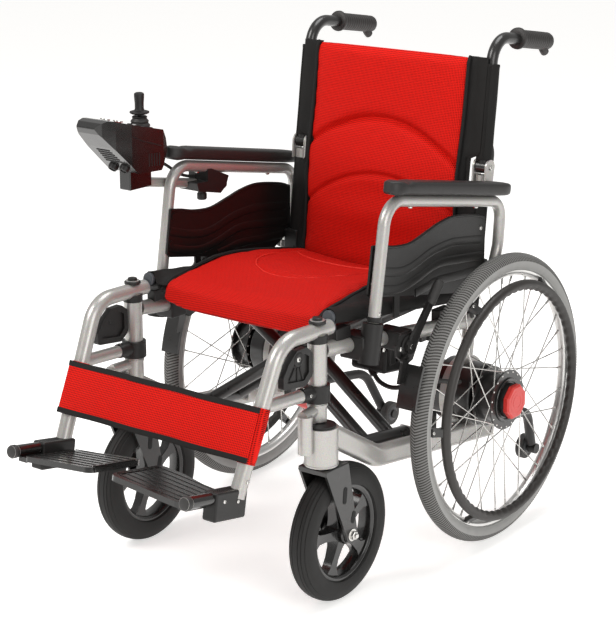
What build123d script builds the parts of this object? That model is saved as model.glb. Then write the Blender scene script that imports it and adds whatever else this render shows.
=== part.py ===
"""Folding power wheelchair: welded side frames on a scissor brace, hub motors, casters and a fold-down back.

Axes: +Z up, the chair faces -Y, the occupant's left is +X. Pieces are drawn with y = 0 on the rear axle, left side
first, and then moved so that the origin is the middle of the base. Millimetres.
"""
import os
from math import atan2, cos, degrees, pi, radians, sin, tan

from build123d import *

os.makedirs("parts", exist_ok=True)

# Wheels
REAR_R = 280.0            # 22 inch rear wheel
TYRE_R = 18.5             # section radius of the rear tyre
WHEEL_X = 297.0           # plane of the rear wheel
AXLE_Z = REAR_R
HANDRIM_X = 328.0
HANDRIM_R = 224.5
HANDRIM_BAR = 9.0
FLANGE_R = 58.0           # spoke flanges of the rear hub
SPOKE_R = 1.2
SPOKE_START = FLANGE_R + SPOKE_R + 0.4
CASTER_R = 127.0          # 10 inch caster
TAIL = (312.0, 65.0)      # anti-tip wheel's axle
TAIL_R = 26.0
CASTER_X = 230.0
CASTER_Y = -417.5         # caster axle
SWIVEL_Y = -468.0         # swivel axis
GRIP_BACK = 285.0         # back of the push grips

# Frame
PITCH = 6.8               # seat rails, brace and back posts lean back by this
RAIL_X = 215.0
RAIL_R = 14.0
POST_Y = -460.0
POST_R = 17.0
LOWER_X = 230.0
CANE_X = 216.0
CANE_R = 12.5
HINGE_Y = 55.3
HINGE_Z = 709.0
TUBE_WALL = 2.0

# Scissor brace, in the leaning frame through the lower pivots
BRACE_Y = -250.0
BRACE_Z = 245.0
PIVOT_X = 196.0
CENTRE_W = 135.0
SEAT_X = 210.0
SEAT_W = 253.3
LEG_R = 12.5
LEG_V = {"a": (-40.0, 40.0), "b": (-13.0, 67.0)}
SLEEVE_V = (-58.0, 85.0)
SEAT_V = (-198.4, 222.0)
SEAT_TOP = 295.0
LEAN = Location((0, BRACE_Y, BRACE_Z), (-PITCH, 0, 0))

# Armrests
ARM_X = 249.0
ARM_R = 11.0
ARM_PITCH = 10.2
ARM_PIVOT = (43.0, 512.0)
PANEL_X = 235.0
ARM_PATH = [(ARM_X, -342, 500), (ARM_X, -307, 712.5), (ARM_X, 68, 645), (ARM_X, 61, 562), (ARM_X, 43, 512)]

# Leg rests
HANGER = [(215, -426, 506), (213, -560, 508), (204, -668, 262)]
FOOT = Location((200, -718, 276), (-10, 0, 0))

# Wheel locks, (y, z)
LOCK_PIVOT = (-255.0, 438.0)
SHOE_PIVOT = (-268.0, 415.0)

# Controller and leads
POD_X = -272.0
STICK = (POD_X, -368.0, 786.0)
PANEL_TILT = 15.0         # slope of the button panel
MOTOR_LEAD = [(112, -146, 327), (119, -147.5, 319), (133, -149, 313), (150, -150, 310), (167, -149, 312),
              (184, -144, 319), (201, -132, 325), (219, -114, 327), (236, -93, 325), (247, -75, 320), (251, -62, 318)]

FIT = 0.06                # radial running clearance of pins
GAP = 0.4                 # gap between bodies that pass each other


def pipe(points, radius, bends=None, wall=TUBE_WALL):
    """Round tube along straight runs joined by bends; wall 0 gives a solid bar."""
    path = Line(*points) if len(points) == 2 else FilletPolyline(*points, radius=bends)
    start = Plane(path @ 0, z_dir=path % 0)
    ring = Circle(radius) - Circle(radius - wall) if wall else Circle(radius)
    return sweep(start * ring, path=path)


def bar(a, b, radius, bore=0):
    """Round bar between two points, with an optional bore."""
    a, b = Vector(*a), Vector(*b)
    solid = Plane(a, z_dir=b - a) * Cylinder(radius, (b - a).length, align=(Align.CENTER, Align.CENTER, Align.MIN))
    if bore:
        solid -= Plane(a, z_dir=b - a) * Cylinder(bore, (b - a).length, align=(Align.CENTER, Align.CENTER, Align.MIN))
    return solid


def disc(x0, x1, y, z, radius, bore=0):
    """Disc across the chair, from x0 to x1."""
    return bar((x0, y, z), (x1, y, z), radius, bore)


def block(x, y, z, soft=0):
    """Box from three (low, high) pairs, its edges rounded by soft."""
    box = Pos((x[0] + x[1]) / 2, (y[0] + y[1]) / 2, (z[0] + z[1]) / 2) * Box(x[1] - x[0], y[1] - y[0], z[1] - z[0])
    return fillet(box.edges(), soft) if soft else box


def plate(points, x0, x1):
    """Flat plate across the chair, from x0 to x1, with its outline in (y, z)."""
    outline = Plane((x0, 0, 0), x_dir=(0, 1, 0), z_dir=(1, 0, 0)) * Polyline(*points, close=True)
    return extrude(make_face(outline), x1 - x0, dir=(1, 0, 0))


def weld(*shapes):
    solid = shapes[0]
    for shape in shapes[1:]:
        solid = solid + shape
    return solid


def group(*shapes):
    return Compound([solid for shape in shapes for solid in shape.solids()])


def rail_z(y):
    return 471.0 - (y - POST_Y) * tan(radians(PITCH))


def cane_y(z):
    return HINGE_Y - (HINGE_Z - z) * tan(radians(PITCH))


# ---------------------------------------------------------------- frame
def side_frame():
    """Welded side: rails, posts, caster housing, motor plate, brace pivot and the lower half of the back hinge."""
    housing = bar((CASTER_X, SWIVEL_Y, 269), (CASTER_X, SWIVEL_Y, 339), 30)
    post = pipe([(RAIL_X, POST_Y, 310), (RAIL_X, POST_Y, 491)], POST_R)
    rail = pipe([(RAIL_X, POST_Y + 15.6, rail_z(POST_Y + 15.6)), (RAIL_X, cane_y(412), rail_z(cane_y(412)))], RAIL_R)
    neck_path = FilletPolyline((LOWER_X, -448, 320), (LOWER_X, -305, 236), (LOWER_X, 78, 188), radius=[90])
    oval = Rot(0, 0, 90) * (SlotOverall(42, 25) - SlotOverall(38, 21))
    lower = sweep(Plane(neck_path @ 0, x_dir=(1, 0, 0), z_dir=neck_path % 0) * oval, path=neck_path)
    high_cane = pipe([(CANE_X, cane_y(346), 346), (CANE_X, cane_y(694), 694)], CANE_R)
    low_cane = pipe([(CANE_X, cane_y(190), 190), (CANE_X, cane_y(214), 214)], CANE_R)
    motor_plate = disc(209, 223, 0, AXLE_Z, 70)
    gusset = plate([(-15, 200), (45, 188), (30, 225), (-18, 225)], 212, 226)
    stub = bar((RAIL_X + 10, -507, 298), (RAIL_X + 10, -507, 366), 13)
    strut = bar((RAIL_X + 8, -512, 364), (RAIL_X, POST_Y, 366), 10)
    shaft = LEAN * bar((PIVOT_X, SLEEVE_V[0] - 8, 0), (PIVOT_X, SLEEVE_V[1] + 8, 0), 8)
    ears = [
        LEAN * block((PIVOT_X - 12, LOWER_X - 4), (v, v + 6), (-16, 12))
        for v in (SLEEVE_V[0] - 8, SLEEVE_V[1] + 2)
    ]
    cheeks = [
        disc(x, x + 3.5, HINGE_Y, HINGE_Z, 15) + plate(
            [(HINGE_Y - 15, HINGE_Z), (HINGE_Y + 15, HINGE_Z), (cane_y(676) + 13, 676), (cane_y(676) - 13, 676)],
            x, x + 3.5)
        for x in (CANE_X - CANE_R - 3.3, CANE_X + CANE_R - 0.2)
    ]
    pin = disc(CANE_X - 15, CANE_X + 15, HINGE_Y, HINGE_Z, 5)
    frame = weld(housing, post, rail, lower, high_cane, low_cane, motor_plate, gusset, stub, strut, shaft, pin)
    frame = weld(frame, *ears, *cheeks)
    frame -= bar((CASTER_X, SWIVEL_Y, 260), (CASTER_X, SWIVEL_Y, 345), 10 + FIT)
    frame -= disc(200, 230, 0, AXLE_Z, 31)
    return frame


def frame_fittings():
    """Black mouldings and brackets fixed to the side frame, each a piece of its own."""
    cap = bar((CASTER_X, SWIVEL_Y, 339.3), (CASTER_X, SWIVEL_Y, 343), 26)
    cap -= bar((RAIL_X, POST_Y, 330), (RAIL_X, POST_Y, 350), POST_R + 0.2)
    lean = tan(radians(ARM_PITCH))
    socket = bar((ARM_X, -357, 428), (ARM_X, -357 + 71 * lean, 499), 19)
    socket += block((RAIL_X - 18, ARM_X), (-372, -330), (434, 478), 3)
    socket -= pipe([(RAIL_X, -400, rail_z(-400)), (RAIL_X, -300, rail_z(-300))], RAIL_R + 0.1, wall=0)
    y, z = ARM_PIVOT
    rear = block((CANE_X - 17, 232.4), (cane_y(z) - 20, y + 12), (z - 20, z + 20), 3)
    rear -= pipe([(CANE_X, cane_y(z - 40), z - 40), (CANE_X, cane_y(z + 40), z + 40)], CANE_R + 0.1, wall=0)
    rear += disc(231, ARM_X + 11, y, z, 5)
    rear += disc(ARM_X + 11, ARM_X + 14, y, z, 9)
    saddles = [
        block((RAIL_X - 13, RAIL_X + 7), (y0, y0 + 42), (rail_z(y0 + 21) + 12.2, rail_z(y0 + 21) + 35), 2)
        - pipe([(RAIL_X, y0 - 20, rail_z(y0 - 20)), (RAIL_X, y0 + 60, rail_z(y0 + 60))], RAIL_R + 0.1, wall=0)
        for y0 in (-414, -92)
    ]
    lock = plate([(-288, 445), (-271, 463), (-228, 460), (-213, 446), (-236, 408), (-256, 402), (-286, 424)], 256, 261)
    lock += block((RAIL_X - 17, 256.5), (-268, -232), (428, 464), 3)
    lock -= pipe([(RAIL_X, -300, rail_z(-300)), (RAIL_X, -200, rail_z(-200))], RAIL_R + 0.1, wall=0)
    lock += disc(260, 275, *LOCK_PIVOT, 5)
    lock += disc(260, 272, *SHOE_PIVOT, 4)
    tail = pipe([(RAIL_X + 1, 92, 186), (206, 262, 164), (192, 306, 78)], 10, [55])
    y, z = TAIL
    tail += disc(186, 203, y, z, 11)
    tail += disc(160, 189, y, z, 5)
    tail += disc(160, 164, y, z, 9)
    tail += block((RAIL_X - 10, 216.8), (60, 100), (176, 200), 3)
    return group(cap, socket, rear, *saddles, lock, tail)


def brace(side):
    """One half of the scissor: two legs, the sleeve at their foot and the seat tube at their head."""
    legs = [
        weld(
            bar((PIVOT_X, v, 0), (0, v, CENTRE_W), LEG_R),
            bar((0, v, CENTRE_W), (-SEAT_X, v, SEAT_W), LEG_R),
            Pos(0, v, CENTRE_W) * Sphere(LEG_R),
        )
        for v in LEG_V[side]
    ]
    hollow = [
        bar((PIVOT_X - 10, v, 7), (12, v, CENTRE_W - 8.3), LEG_R - TUBE_WALL)
        for v in LEG_V[side]
    ]
    sleeve = bar((PIVOT_X, SLEEVE_V[0], 0), (PIVOT_X, SLEEVE_V[1], 0), 13.5)
    seat_tube = bar((-SEAT_X, SEAT_V[0], SEAT_W), (-SEAT_X, SEAT_V[1], SEAT_W), 11)
    body = weld(*legs, sleeve, seat_tube)
    for void in hollow:
        body -= void
    body -= bar((-SEAT_X, SEAT_V[0] + 3, SEAT_W), (-SEAT_X, SEAT_V[1] - 3, SEAT_W), 9)
    body -= bar((PIVOT_X, SLEEVE_V[0] - 1, 0), (PIVOT_X, SLEEVE_V[1] + 1, 0), 8 + FIT)
    low, high = LEG_V["a"][0] - LEG_R - 4, LEG_V["b"][1] + LEG_R + 4
    if side == "a":
        body += bar((0, low, CENTRE_W), (0, high, CENTRE_W), 6)
    else:
        body -= bar((0, low, CENTRE_W), (0, high, CENTRE_W), 6 + FIT)
        body = mirror(body, about=Plane.YZ)
    return LEAN * body


# ---------------------------------------------------------------- rear wheel
def rear_tyre():
    ring = Pos(WHEEL_X, 0, AXLE_Z) * Rot(0, 90, 0) * Torus(REAR_R - TYRE_R, TYRE_R)
    return ring - disc(WHEEL_X - 12.3, WHEEL_X + 12.3, 0, AXLE_Z, 250, 200)


def rear_rim():
    """Rim and 36 laced spokes, one laced unit."""
    ring = disc(WHEEL_X - 12, WHEEL_X + 12, 0, AXLE_Z, 249.7, 240)
    ring += disc(WHEEL_X - 8, WHEEL_X + 8, 0, AXLE_Z, 242, 236)
    spokes = []
    for k in range(36):
        side = 1 if k % 2 else -1
        sweep_angle = radians(60 if k % 4 < 2 else -60)
        rim_angle = 2 * pi * k / 36
        hub_angle = rim_angle + sweep_angle
        start = (WHEEL_X + 19 * side, SPOKE_START * cos(hub_angle), AXLE_Z + SPOKE_START * sin(hub_angle))
        end = (WHEEL_X + 2 * side, 237.5 * cos(rim_angle), AXLE_Z + 237.5 * sin(rim_angle))
        spokes.append(bar(start, end, SPOKE_R))
    return ring.fuse(*spokes)


def rear_hub():
    hub = disc(272, 329, 0, AXLE_Z, 22)
    for x in (276, 315):
        hub += disc(x, x + 3, 0, AXLE_Z, FLANGE_R)
    hub += disc(278, 316, 0, AXLE_Z, 46)
    hub += disc(318, 329, 0, AXLE_Z, 33)
    return hub - disc(270, 330, 0, AXLE_Z, 8.5 + FIT)


def hub_cap():
    octagon = Plane((329.3, 0, AXLE_Z), x_dir=(0, 1, 0), z_dir=(1, 0, 0)) * RegularPolygon(34, 8, rotation=22.5)
    cap = extrude(octagon, 11, dir=(1, 0, 0))
    return chamfer(cap.faces().sort_by(Axis.X)[-1].edges(), 3)


def handrim():
    ring = Pos(HANDRIM_X, 0, AXLE_Z) * Rot(0, 90, 0) * Torus(HANDRIM_R, HANDRIM_BAR)
    tab = block((WHEEL_X + 12.2, HANDRIM_X), (-9, 9), (HANDRIM_R + 5, HANDRIM_R + 17))
    tabs = [Pos(0, 0, AXLE_Z) * Rot(30 + 60 * k, 0, 0) * tab for k in range(6)]
    return weld(ring, *tabs)


def motor():
    """Gear motor on the motor plate: drum outside, end bell inside, and the wheel's axle."""
    body = disc(230, 268, 0, AXLE_Z, 60)
    body = fillet(body.edges(), 5)
    body += disc(200, 231, 0, AXLE_Z, 30.8)
    body += disc(188, 208.6, 0, AXLE_Z, 62)
    bell = disc(150, 189, 0, AXLE_Z, 50)
    body += fillet(bell.faces().sort_by(Axis.X)[0].edges(), 12)
    body += disc(267, 326, 0, AXLE_Z, 8.5)
    body += block((164, 182), (-54, -34), (186, 246), 3)
    body += disc(164, 176, -44, 192, 9)
    body += disc(148, 165, -44, 192, 4)
    return body


def clutch_lever():
    """Hand lever that lets the motor's gears out of mesh."""
    lever = disc(151, 161, -44, 192, 9) + bar((156, -41, 189), (156, 34, 148), 7.5)
    return lever - disc(140, 170, -44, 192, 4 + FIT)


# ---------------------------------------------------------------- caster
def caster_fork():
    crown = block((CASTER_X - 31, CASTER_X + 31), (SWIVEL_Y - 26, SWIVEL_Y + 40), (257, 267), 2)
    stem = bar((CASTER_X, SWIVEL_Y, 262), (CASTER_X, SWIVEL_Y, 338.5), 10)
    outline = [(SWIVEL_Y - 26, 262), (SWIVEL_Y + 40, 262), (CASTER_Y + 16, 127), (CASTER_Y - 16, 127)]
    legs = [
        plate(outline, x, x + 5) + disc(x, x + 5, CASTER_Y, CASTER_R, 16)
        for x in (CASTER_X - 31, CASTER_X + 26)
    ]
    axle = disc(CASTER_X - 36, CASTER_X + 36, CASTER_Y, CASTER_R, 6)
    return weld(crown, stem, *legs, axle)


def caster_rim():
    rim = disc(CASTER_X - 15, CASTER_X + 15, CASTER_Y, CASTER_R, 87.7, 78)
    hub = disc(CASTER_X - 24, CASTER_X + 24, CASTER_Y, CASTER_R, 19)
    spoke = block((CASTER_X - 8, CASTER_X + 8), (-11, 11), (15, 80))
    spokes = [Pos(0, CASTER_Y, CASTER_R) * Rot(72 * k, 0, 0) * spoke for k in range(5)]
    return weld(rim, hub, *spokes) - disc(CASTER_X - 30, CASTER_X + 30, CASTER_Y, CASTER_R, 6 + FIT)


def caster_tyre():
    tyre = disc(CASTER_X - 22.5, CASTER_X + 22.5, CASTER_Y, CASTER_R, CASTER_R)
    tyre = fillet(tyre.edges(), 17)
    return tyre - disc(CASTER_X - 40, CASTER_X + 40, CASTER_Y, CASTER_R, 88)


# ---------------------------------------------------------------- hanger and footplate
def hanger():
    """Swing-away leg tube with its collar, cap, footplate block and hinge rod."""
    tube = pipe(HANGER, RAIL_R, [58])
    tube += bar((RAIL_X, POST_Y, 461), (RAIL_X, POST_Y, 500), POST_R - TUBE_WALL - GAP)
    tube += bar((214, -484, 398), (211, -598, 404), 11.5)
    collar = bar((RAIL_X, POST_Y, 380), (RAIL_X, POST_Y, 410), 22, POST_R + GAP)
    collar -= bar((214, -470, 397.3), (212, -520, 400), 11.8)
    cap = bar((RAIL_X, POST_Y, 520.2), (RAIL_X, POST_Y, 526), 13)
    foot = FOOT * weld(
        block((-14, 14), (-12, 68), (-38, 12), 4),
        bar((0, -74, 0), (0, -10, 0), 6),
        bar((0, -78, 0), (0, -66, 0), 11),
    )
    foot -= pipe([HANGER[1], HANGER[2]], RAIL_R + 0.15, wall=0)
    return group(tube, collar, cap, foot)


def footplate():
    """Fold-up footplate, hinged on the rod. Its outer rear corner is tapered to clear the leg tube when it is up."""
    sleeve = bar((0, -65.5, 0), (0, -13, 0), 11)
    arm = block((-24, -6), (-64, -14), (-16, -7))
    slab = fillet(block((-178, -16), (-66, 66), (-16, -6)).edges().filter_by(Axis.Z), 14)
    taper = Pos(-16, 44, -20) * Rot(0, 0, -11.5) * Box(200, 60, 40, align=(Align.MAX, Align.MIN, Align.MIN))
    slab = Rot(0, 5, 0) * (slab - taper)
    body = weld(sleeve, arm, slab) - bar((0, -80, 0), (0, 0, 0), 6 + FIT)
    body -= block((-18.6, 20), (-12.6, 80), (-60, 20))
    return FOOT * body


def hanger_release():
    """D-shaped handle that frees the hanger from its post: a rim around a thin web."""
    outer = [(-481, 433), (-481, 475), (-497, 487), (-524, 486), (-547, 467), (-561, 447), (-561, 425), (-500, 418)]
    ring = plate(outer, 209, 221)
    ring = fillet(ring.edges().filter_by(Axis.X), 6)
    pocket = [(-491, 441), (-491, 470), (-501, 476), (-519, 475), (-538, 459), (-550, 442), (-550, 435), (-504, 429)]
    for x0, x1 in ((200, 213), (217, 230)):
        ring -= fillet(plate(pocket, x0, x1).edges().filter_by(Axis.X), 3)
    boss = disc(210, 220, -519, 470, 13)
    return weld(ring, boss)


# ---------------------------------------------------------------- armrest
def armrest_frame():
    tube = pipe(ARM_PATH, ARM_R, [44, 38, 60])
    y, z = ARM_PIVOT
    tube += disc(ARM_X - 11, ARM_X + 10.6, y, z, 13)
    return tube - disc(230, 270, y, z, 5 + FIT)


def armrest_pad():
    pad = fillet(Box(44, 396, 25).edges().filter_by(Axis.Z), 20)
    pad = fillet(pad.faces().sort_by(Axis.Z)[-1].edges(), 8)
    return Location((255, -117, 702.9), (-ARM_PITCH, 0, 0)) * pad


def side_panel():
    """Clothes guard with a waved top edge, riveted to the armrest through bosses."""
    top = Spline((-330, 633), (-298, 628), (-262, 620), (-215, 617), (-165, 627), (-120, 637), (-70, 640), (0, 629),
                 (34, 618))
    corners = [(34, 618), (34, 524), (-30, 492), (-60, 490), (-334, 541), (-343, 549), (-330, 633)]
    edge = [top] + [Line(a, b) for a, b in zip(corners, corners[1:])]
    outline = Plane((PANEL_X - 2, 0, 0), x_dir=(0, 1, 0), z_dir=(1, 0, 0)) * make_face(edge)
    panel = extrude(outline, 4, dir=(1, 0, 0))
    for y, z in ((-331, 566), (-321, 619)):
        panel += disc(PANEL_X - 3.5, PANEL_X + 2.8, y, z, 7)
    panel += block((PANEL_X - 2, PANEL_X + 2), (-262, -246), (488, 530))
    return panel


# ---------------------------------------------------------------- wheel lock
def lock_lever():
    y, z = LOCK_PIVOT
    lever = disc(264.5, 271.5, y, z, 13)
    tip = (-164, 539)
    lever += plate([(y - 7, z + 7), (y + 7, z - 7), (tip[0] + 5, tip[1] - 6), (tip[0] - 5, tip[1] + 5)], 265, 271)
    lever += bar((268, -192, 508), (268, *tip), 9)
    return lever - disc(255, 280, y, z, 5 + FIT)


def lock_shoe():
    """Shoe that the lever presses on the tyre; a little more than the tyre's radius."""
    y, z = SHOE_PIVOT
    arm = disc(262, 268, y, z, 10) + plate([(y - 9, z), (y + 9, z), (-261, 375), (-288, 375)], 262, 268)
    band = disc(262, 303, 0, AXLE_Z, 293, 286.5)
    wedge = plate([(0, AXLE_Z), (-400, AXLE_Z + 400 * tan(radians(26))), (-400, AXLE_Z + 400 * tan(radians(10)))],
                  250, 330)
    shoe = arm - disc(240, 340, 0, AXLE_Z, 286.5) + (band & wedge)
    return shoe - disc(250, 290, y, z, 4 + FIT)


# ---------------------------------------------------------------- back
def push_handle():
    """Upper cane with its grip; it folds back on the hinge."""
    top = cane_y(951)
    tube = pipe([(CANE_X, cane_y(714), 714), (214, top, 951), (212, GRIP_BACK - 24, 925)], 11, [46])
    tube += disc(CANE_X - 11.8, CANE_X + 11.8, HINGE_Y, HINGE_Z, 12)
    tube -= disc(CANE_X - 20, CANE_X + 20, HINGE_Y, HINGE_Z, 5 + FIT)
    grip = bar((213.2, 172, 938.7), (212, GRIP_BACK - 3.5, 921.5), 16)
    grip = fillet(grip.edges(), 4)
    grip -= bar((213.4, 160, 940.5), (212, GRIP_BACK - 22, 924.8), 11.2)
    return group(tube, grip)


# ---------------------------------------------------------------- upholstery
def seat():
    """Padded sling: its section across the chair, cut to the side view, and the flap under its front edge."""
    v0, v1 = SEAT_V[0] + 2, SEAT_V[1] - 2
    outline = [(-197, 262), (-197, 270), (-182, 296), (182, 296), (197, 270), (197, 262), (130, 236), (-130, 236)]
    face = Plane((0, v0, 0), x_dir=(1, 0, 0), z_dir=(0, -1, 0)) * make_face(Polyline(*outline, close=True))
    pad = extrude(face, v1 - v0, dir=(0, 1, 0))
    side = [(v0, 200), (v0, 247), (-170, 258), (-130, 269), (-90, 280), (-54, 289), (0, SEAT_TOP), (64, SEAT_TOP),
            (140, 291), (v1, 285), (v1, 200)]
    flap = block((-150, 150), (v0, -150), (206, 240))
    return LEAN * ((pad + flap) & plate(side, -200, 200))


def back_lower():
    return LEAN * block((-195, 195), (228, 248), (262, 486), 6)


def back_upper():
    return LEAN * block((-196, 196), (226, 262), (498, 716), 8)


def calf_strap():
    run = Vector(*HANGER[1]) - Vector(*HANGER[2])
    lean = atan2(run.Y, run.Z)
    middle_z = 360.0
    middle_y = HANGER[1][1] - (HANGER[1][2] - middle_z) * tan(lean)
    stand_off = RAIL_R + 3.2
    place = Location((0, middle_y - stand_off * cos(lean), middle_z + stand_off * sin(lean)), (-degrees(lean), 0, 0))
    return place * block((-221, 221), (-2.5, 2.5), (-47, 47), 1.5)


# ---------------------------------------------------------------- power and control
def battery():
    """Battery box with its two hanger straps on the rail and the gland of the motor cable on its underside."""
    pack = LEAN * block((58, 139.6), (86, 150), (99, 150), 8)
    exit_run = Vector(*MOTOR_LEAD[1]) - Vector(*MOTOR_LEAD[0])
    pack += bar(Vector(*MOTOR_LEAD[0]) - exit_run * 1.6, MOTOR_LEAD[0], 8)
    for y0 in (-142, -116):
        top = rail_z(y0 + 9)
        pack += block((138, 146), (y0, y0 + 18), (350, top - 13), 2)
        arm = block((138, RAIL_X), (y0, y0 + 18), (top - 24, top - 12), 2)
        pack += arm - pipe([(RAIL_X, y0 - 20, rail_z(y0 - 20)), (RAIL_X, y0 + 40, rail_z(y0 + 40))], RAIL_R + 0.1, wall=0)
    return pack


def controller_housing():
    """Rounded pod: its side view cut to its top view, with the stick's well, two button holes and the tube's foot."""
    outline = [(-513, 812), (-500, 820), (-486, 822.7), (-474, 821), (-413, 804.7), (-344, 788), (-333, 770), (-328, 748),
               (-350, 712), (-413, 715), (-475, 771), (-505, 800)]
    pod = fillet(plate(outline, POD_X - 37, POD_X + 37).edges().filter_by(Axis.X), 3)
    half = [(20, -516), (29, -500), (35, -470), (37, -430), (37, -345), (31, -326)]
    ring = [(POD_X + x, y) for x, y in half] + [(POD_X - x, y) for x, y in reversed(half)]
    top_view = extrude(make_face(Pos(0, 0, 690) * Polyline(*ring, close=True)), 150, dir=(0, 0, 1))
    pod = pod & fillet(top_view.edges().filter_by(Axis.Z), 5)
    pod += block((POD_X - 15, POD_X + 13), (-412, -352), (679, 720), 3)
    pod -= Pos(STICK) * Pos(0, 0, 9) * Cylinder(20, 46)
    for x in (POD_X - 16, POD_X + 16):
        pod -= button_place(x) * Cylinder(7.4, 16)
    return pod - bar((POD_X, -400, tube_z(-400)), (POD_X, -300, tube_z(-300)), 9.6)


def tube_z(y):
    return 684.7 - (y + 352) * 0.1833


def button_place(x):
    return Location((x, -444, 813), (-PANEL_TILT, 0, 0))


def button(x):
    key = button_place(x) * Pos(0, 0, -1) * Cylinder(7, 8)
    return fillet(key.edges(), 1)


def controller_tube():
    return pipe([(POD_X, -352, tube_z(-352)), (POD_X, -130, tube_z(-130))], 9.5)


def controller_clamp():
    """Clamp under the right armrest, with its screw knob."""
    outline = [(-248, 669), (-216, 667), (-216, 692), (-205, 691), (-153, 669), (-162, 649), (-178, 638), (-243, 652)]
    clamp = fillet(plate(outline, POD_X - 15, -238).edges().filter_by(Axis.X), 1.5)
    clamp -= bar((POD_X, -300, tube_z(-300)), (POD_X, -100, tube_z(-100)), 9.6)
    clamp -= pipe([(-ARM_X, -260, 704), (-ARM_X, -50, 666.2)], ARM_R + 0.3, wall=0)
    clamp += bar((POD_X, -195, 624), (POD_X, -195, 645), 8)
    return clamp


def joystick_boot():
    """Bellows on the stick's gimbal, with the gimbal's trunnions across the chair."""
    boot = Pos(STICK) * Pos(0, 0, 8.5) * Cone(17.5, 14.5, 31)
    x, y, z = STICK
    boot += bar((x - 19.2, y, z), (x + 19.2, y, z), 3)
    return boot - Pos(STICK) * Box(26, 8.8, 60)


def joystick():
    """Stick with its knob, skirt and the round boss it rolls on."""
    x, y, z = STICK
    boss = bar((x, y - 4.1, z), (x, y + 4.1, z), 6)
    stick = Pos(STICK) * Pos(0, 0, 30) * Cylinder(4, 70)
    knob = Pos(STICK) * Pos(0, 0, 54) * Cone(8, 9.5, 34)
    skirt = Pos(STICK) * Pos(0, 0, 34) * Cylinder(18, 3)
    return weld(boss, stick, knob, skirt)


def cord(points, diameter):
    """Cord tube: straight runs joined by arcs as large as the runs allow. Prints its radii and its volume check."""
    points = [Vector(*p) for p in points]
    radii = []
    for before, here, after in zip(points, points[1:], points[2:]):
        turn = radians((here - before).get_angle(after - here))
        radii.append(0.45 * min((here - before).length, (after - here).length) / tan(turn / 2))
    path = FilletPolyline(*points, radius=radii)
    tube = sweep(Plane(path @ 0, z_dir=path % 0) * Circle(diameter / 2), path=path)
    ratio = tube.volume / (pi * diameter ** 2 / 4 * path.length)
    print("cord", round(path.length, 1), "mm, radii", [round(r) for r in radii], "volume ratio", round(ratio, 4))
    return tube


def controller_cable():
    return cord([(-266, -338.3, 729.4), (-266, -328, 723), (-266, -311, 714.5), (-267, -291, 703), (-269, -271, 690),
                 (-271, -250, 681), (-272, -232, 676), (-272, -216.8, 674)], 6)


def motor_cable():
    """Lead from the battery to the left motor, hanging between them."""
    return cord(MOTOR_LEAD, 9)


# ---------------------------------------------------------------- build
SIDED = {
    "side_frame": side_frame(),
    "frame_fittings": frame_fittings(),
    "rear_tyre": rear_tyre(),
    "rear_rim": rear_rim(),
    "rear_hub": rear_hub(),
    "hub_cap": hub_cap(),
    "handrim": handrim(),
    "motor": motor(),
    "clutch_lever": clutch_lever(),
    "caster_fork": caster_fork(),
    "caster_rim": caster_rim(),
    "caster_tyre": caster_tyre(),
    "hanger": hanger(),
    "footplate": footplate(),
    "hanger_release": hanger_release(),
    "armrest_frame": armrest_frame(),
    "armrest_pad": armrest_pad(),
    "side_panel": side_panel(),
    "wheel_lock_lever": lock_lever(),
    "wheel_lock_shoe": lock_shoe(),
    "push_handle": push_handle(),
    "anti_tip_wheel": fillet(disc(165, 181, *TAIL, TAIL_R).edges(), 3) - disc(160, 190, *TAIL, 5 + FIT),
}
SINGLE = {
    "brace_from_left": brace("a"),
    "brace_from_right": brace("b"),
    "seat_upholstery": seat(),
    "back_upholstery_lower": back_lower(),
    "back_upholstery_upper": back_upper(),
    "calf_strap": calf_strap(),
    "battery_box": battery(),
    "controller_housing": controller_housing(),
    "controller_tube": controller_tube(),
    "controller_clamp": controller_clamp(),
    "controller_cable": controller_cable(),
    "joystick_boot": joystick_boot(),
    "joystick": joystick(),
    "power_button": button(POD_X + 16),
    "horn_button": button(POD_X - 16),
    "motor_cable": motor_cable(),
}
PARTS = dict(SINGLE)
for name, shape in SIDED.items():
    PARTS["left_" + name] = shape
    PARTS["right_" + name] = mirror(shape, about=Plane.YZ)
front = min(shape.bounding_box().min.Y for shape in PARTS.values())
back = TAIL[0] + TAIL_R
origin_y = -(front + back) / 2
for name, shape in PARTS.items():
    export_step(Pos(0, origin_y, 0) * shape, "parts/" + name + ".step")
print(len(PARTS), "nodes, rear axle at y =", round(origin_y, 3))
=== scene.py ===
"""Looks of the folding power wheelchair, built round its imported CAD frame. Helpers take millimetres."""
import math

import bmesh
import bpy
import numpy as np
from mathutils import Matrix, Vector
from mathutils.bvhtree import BVHTree


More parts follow.
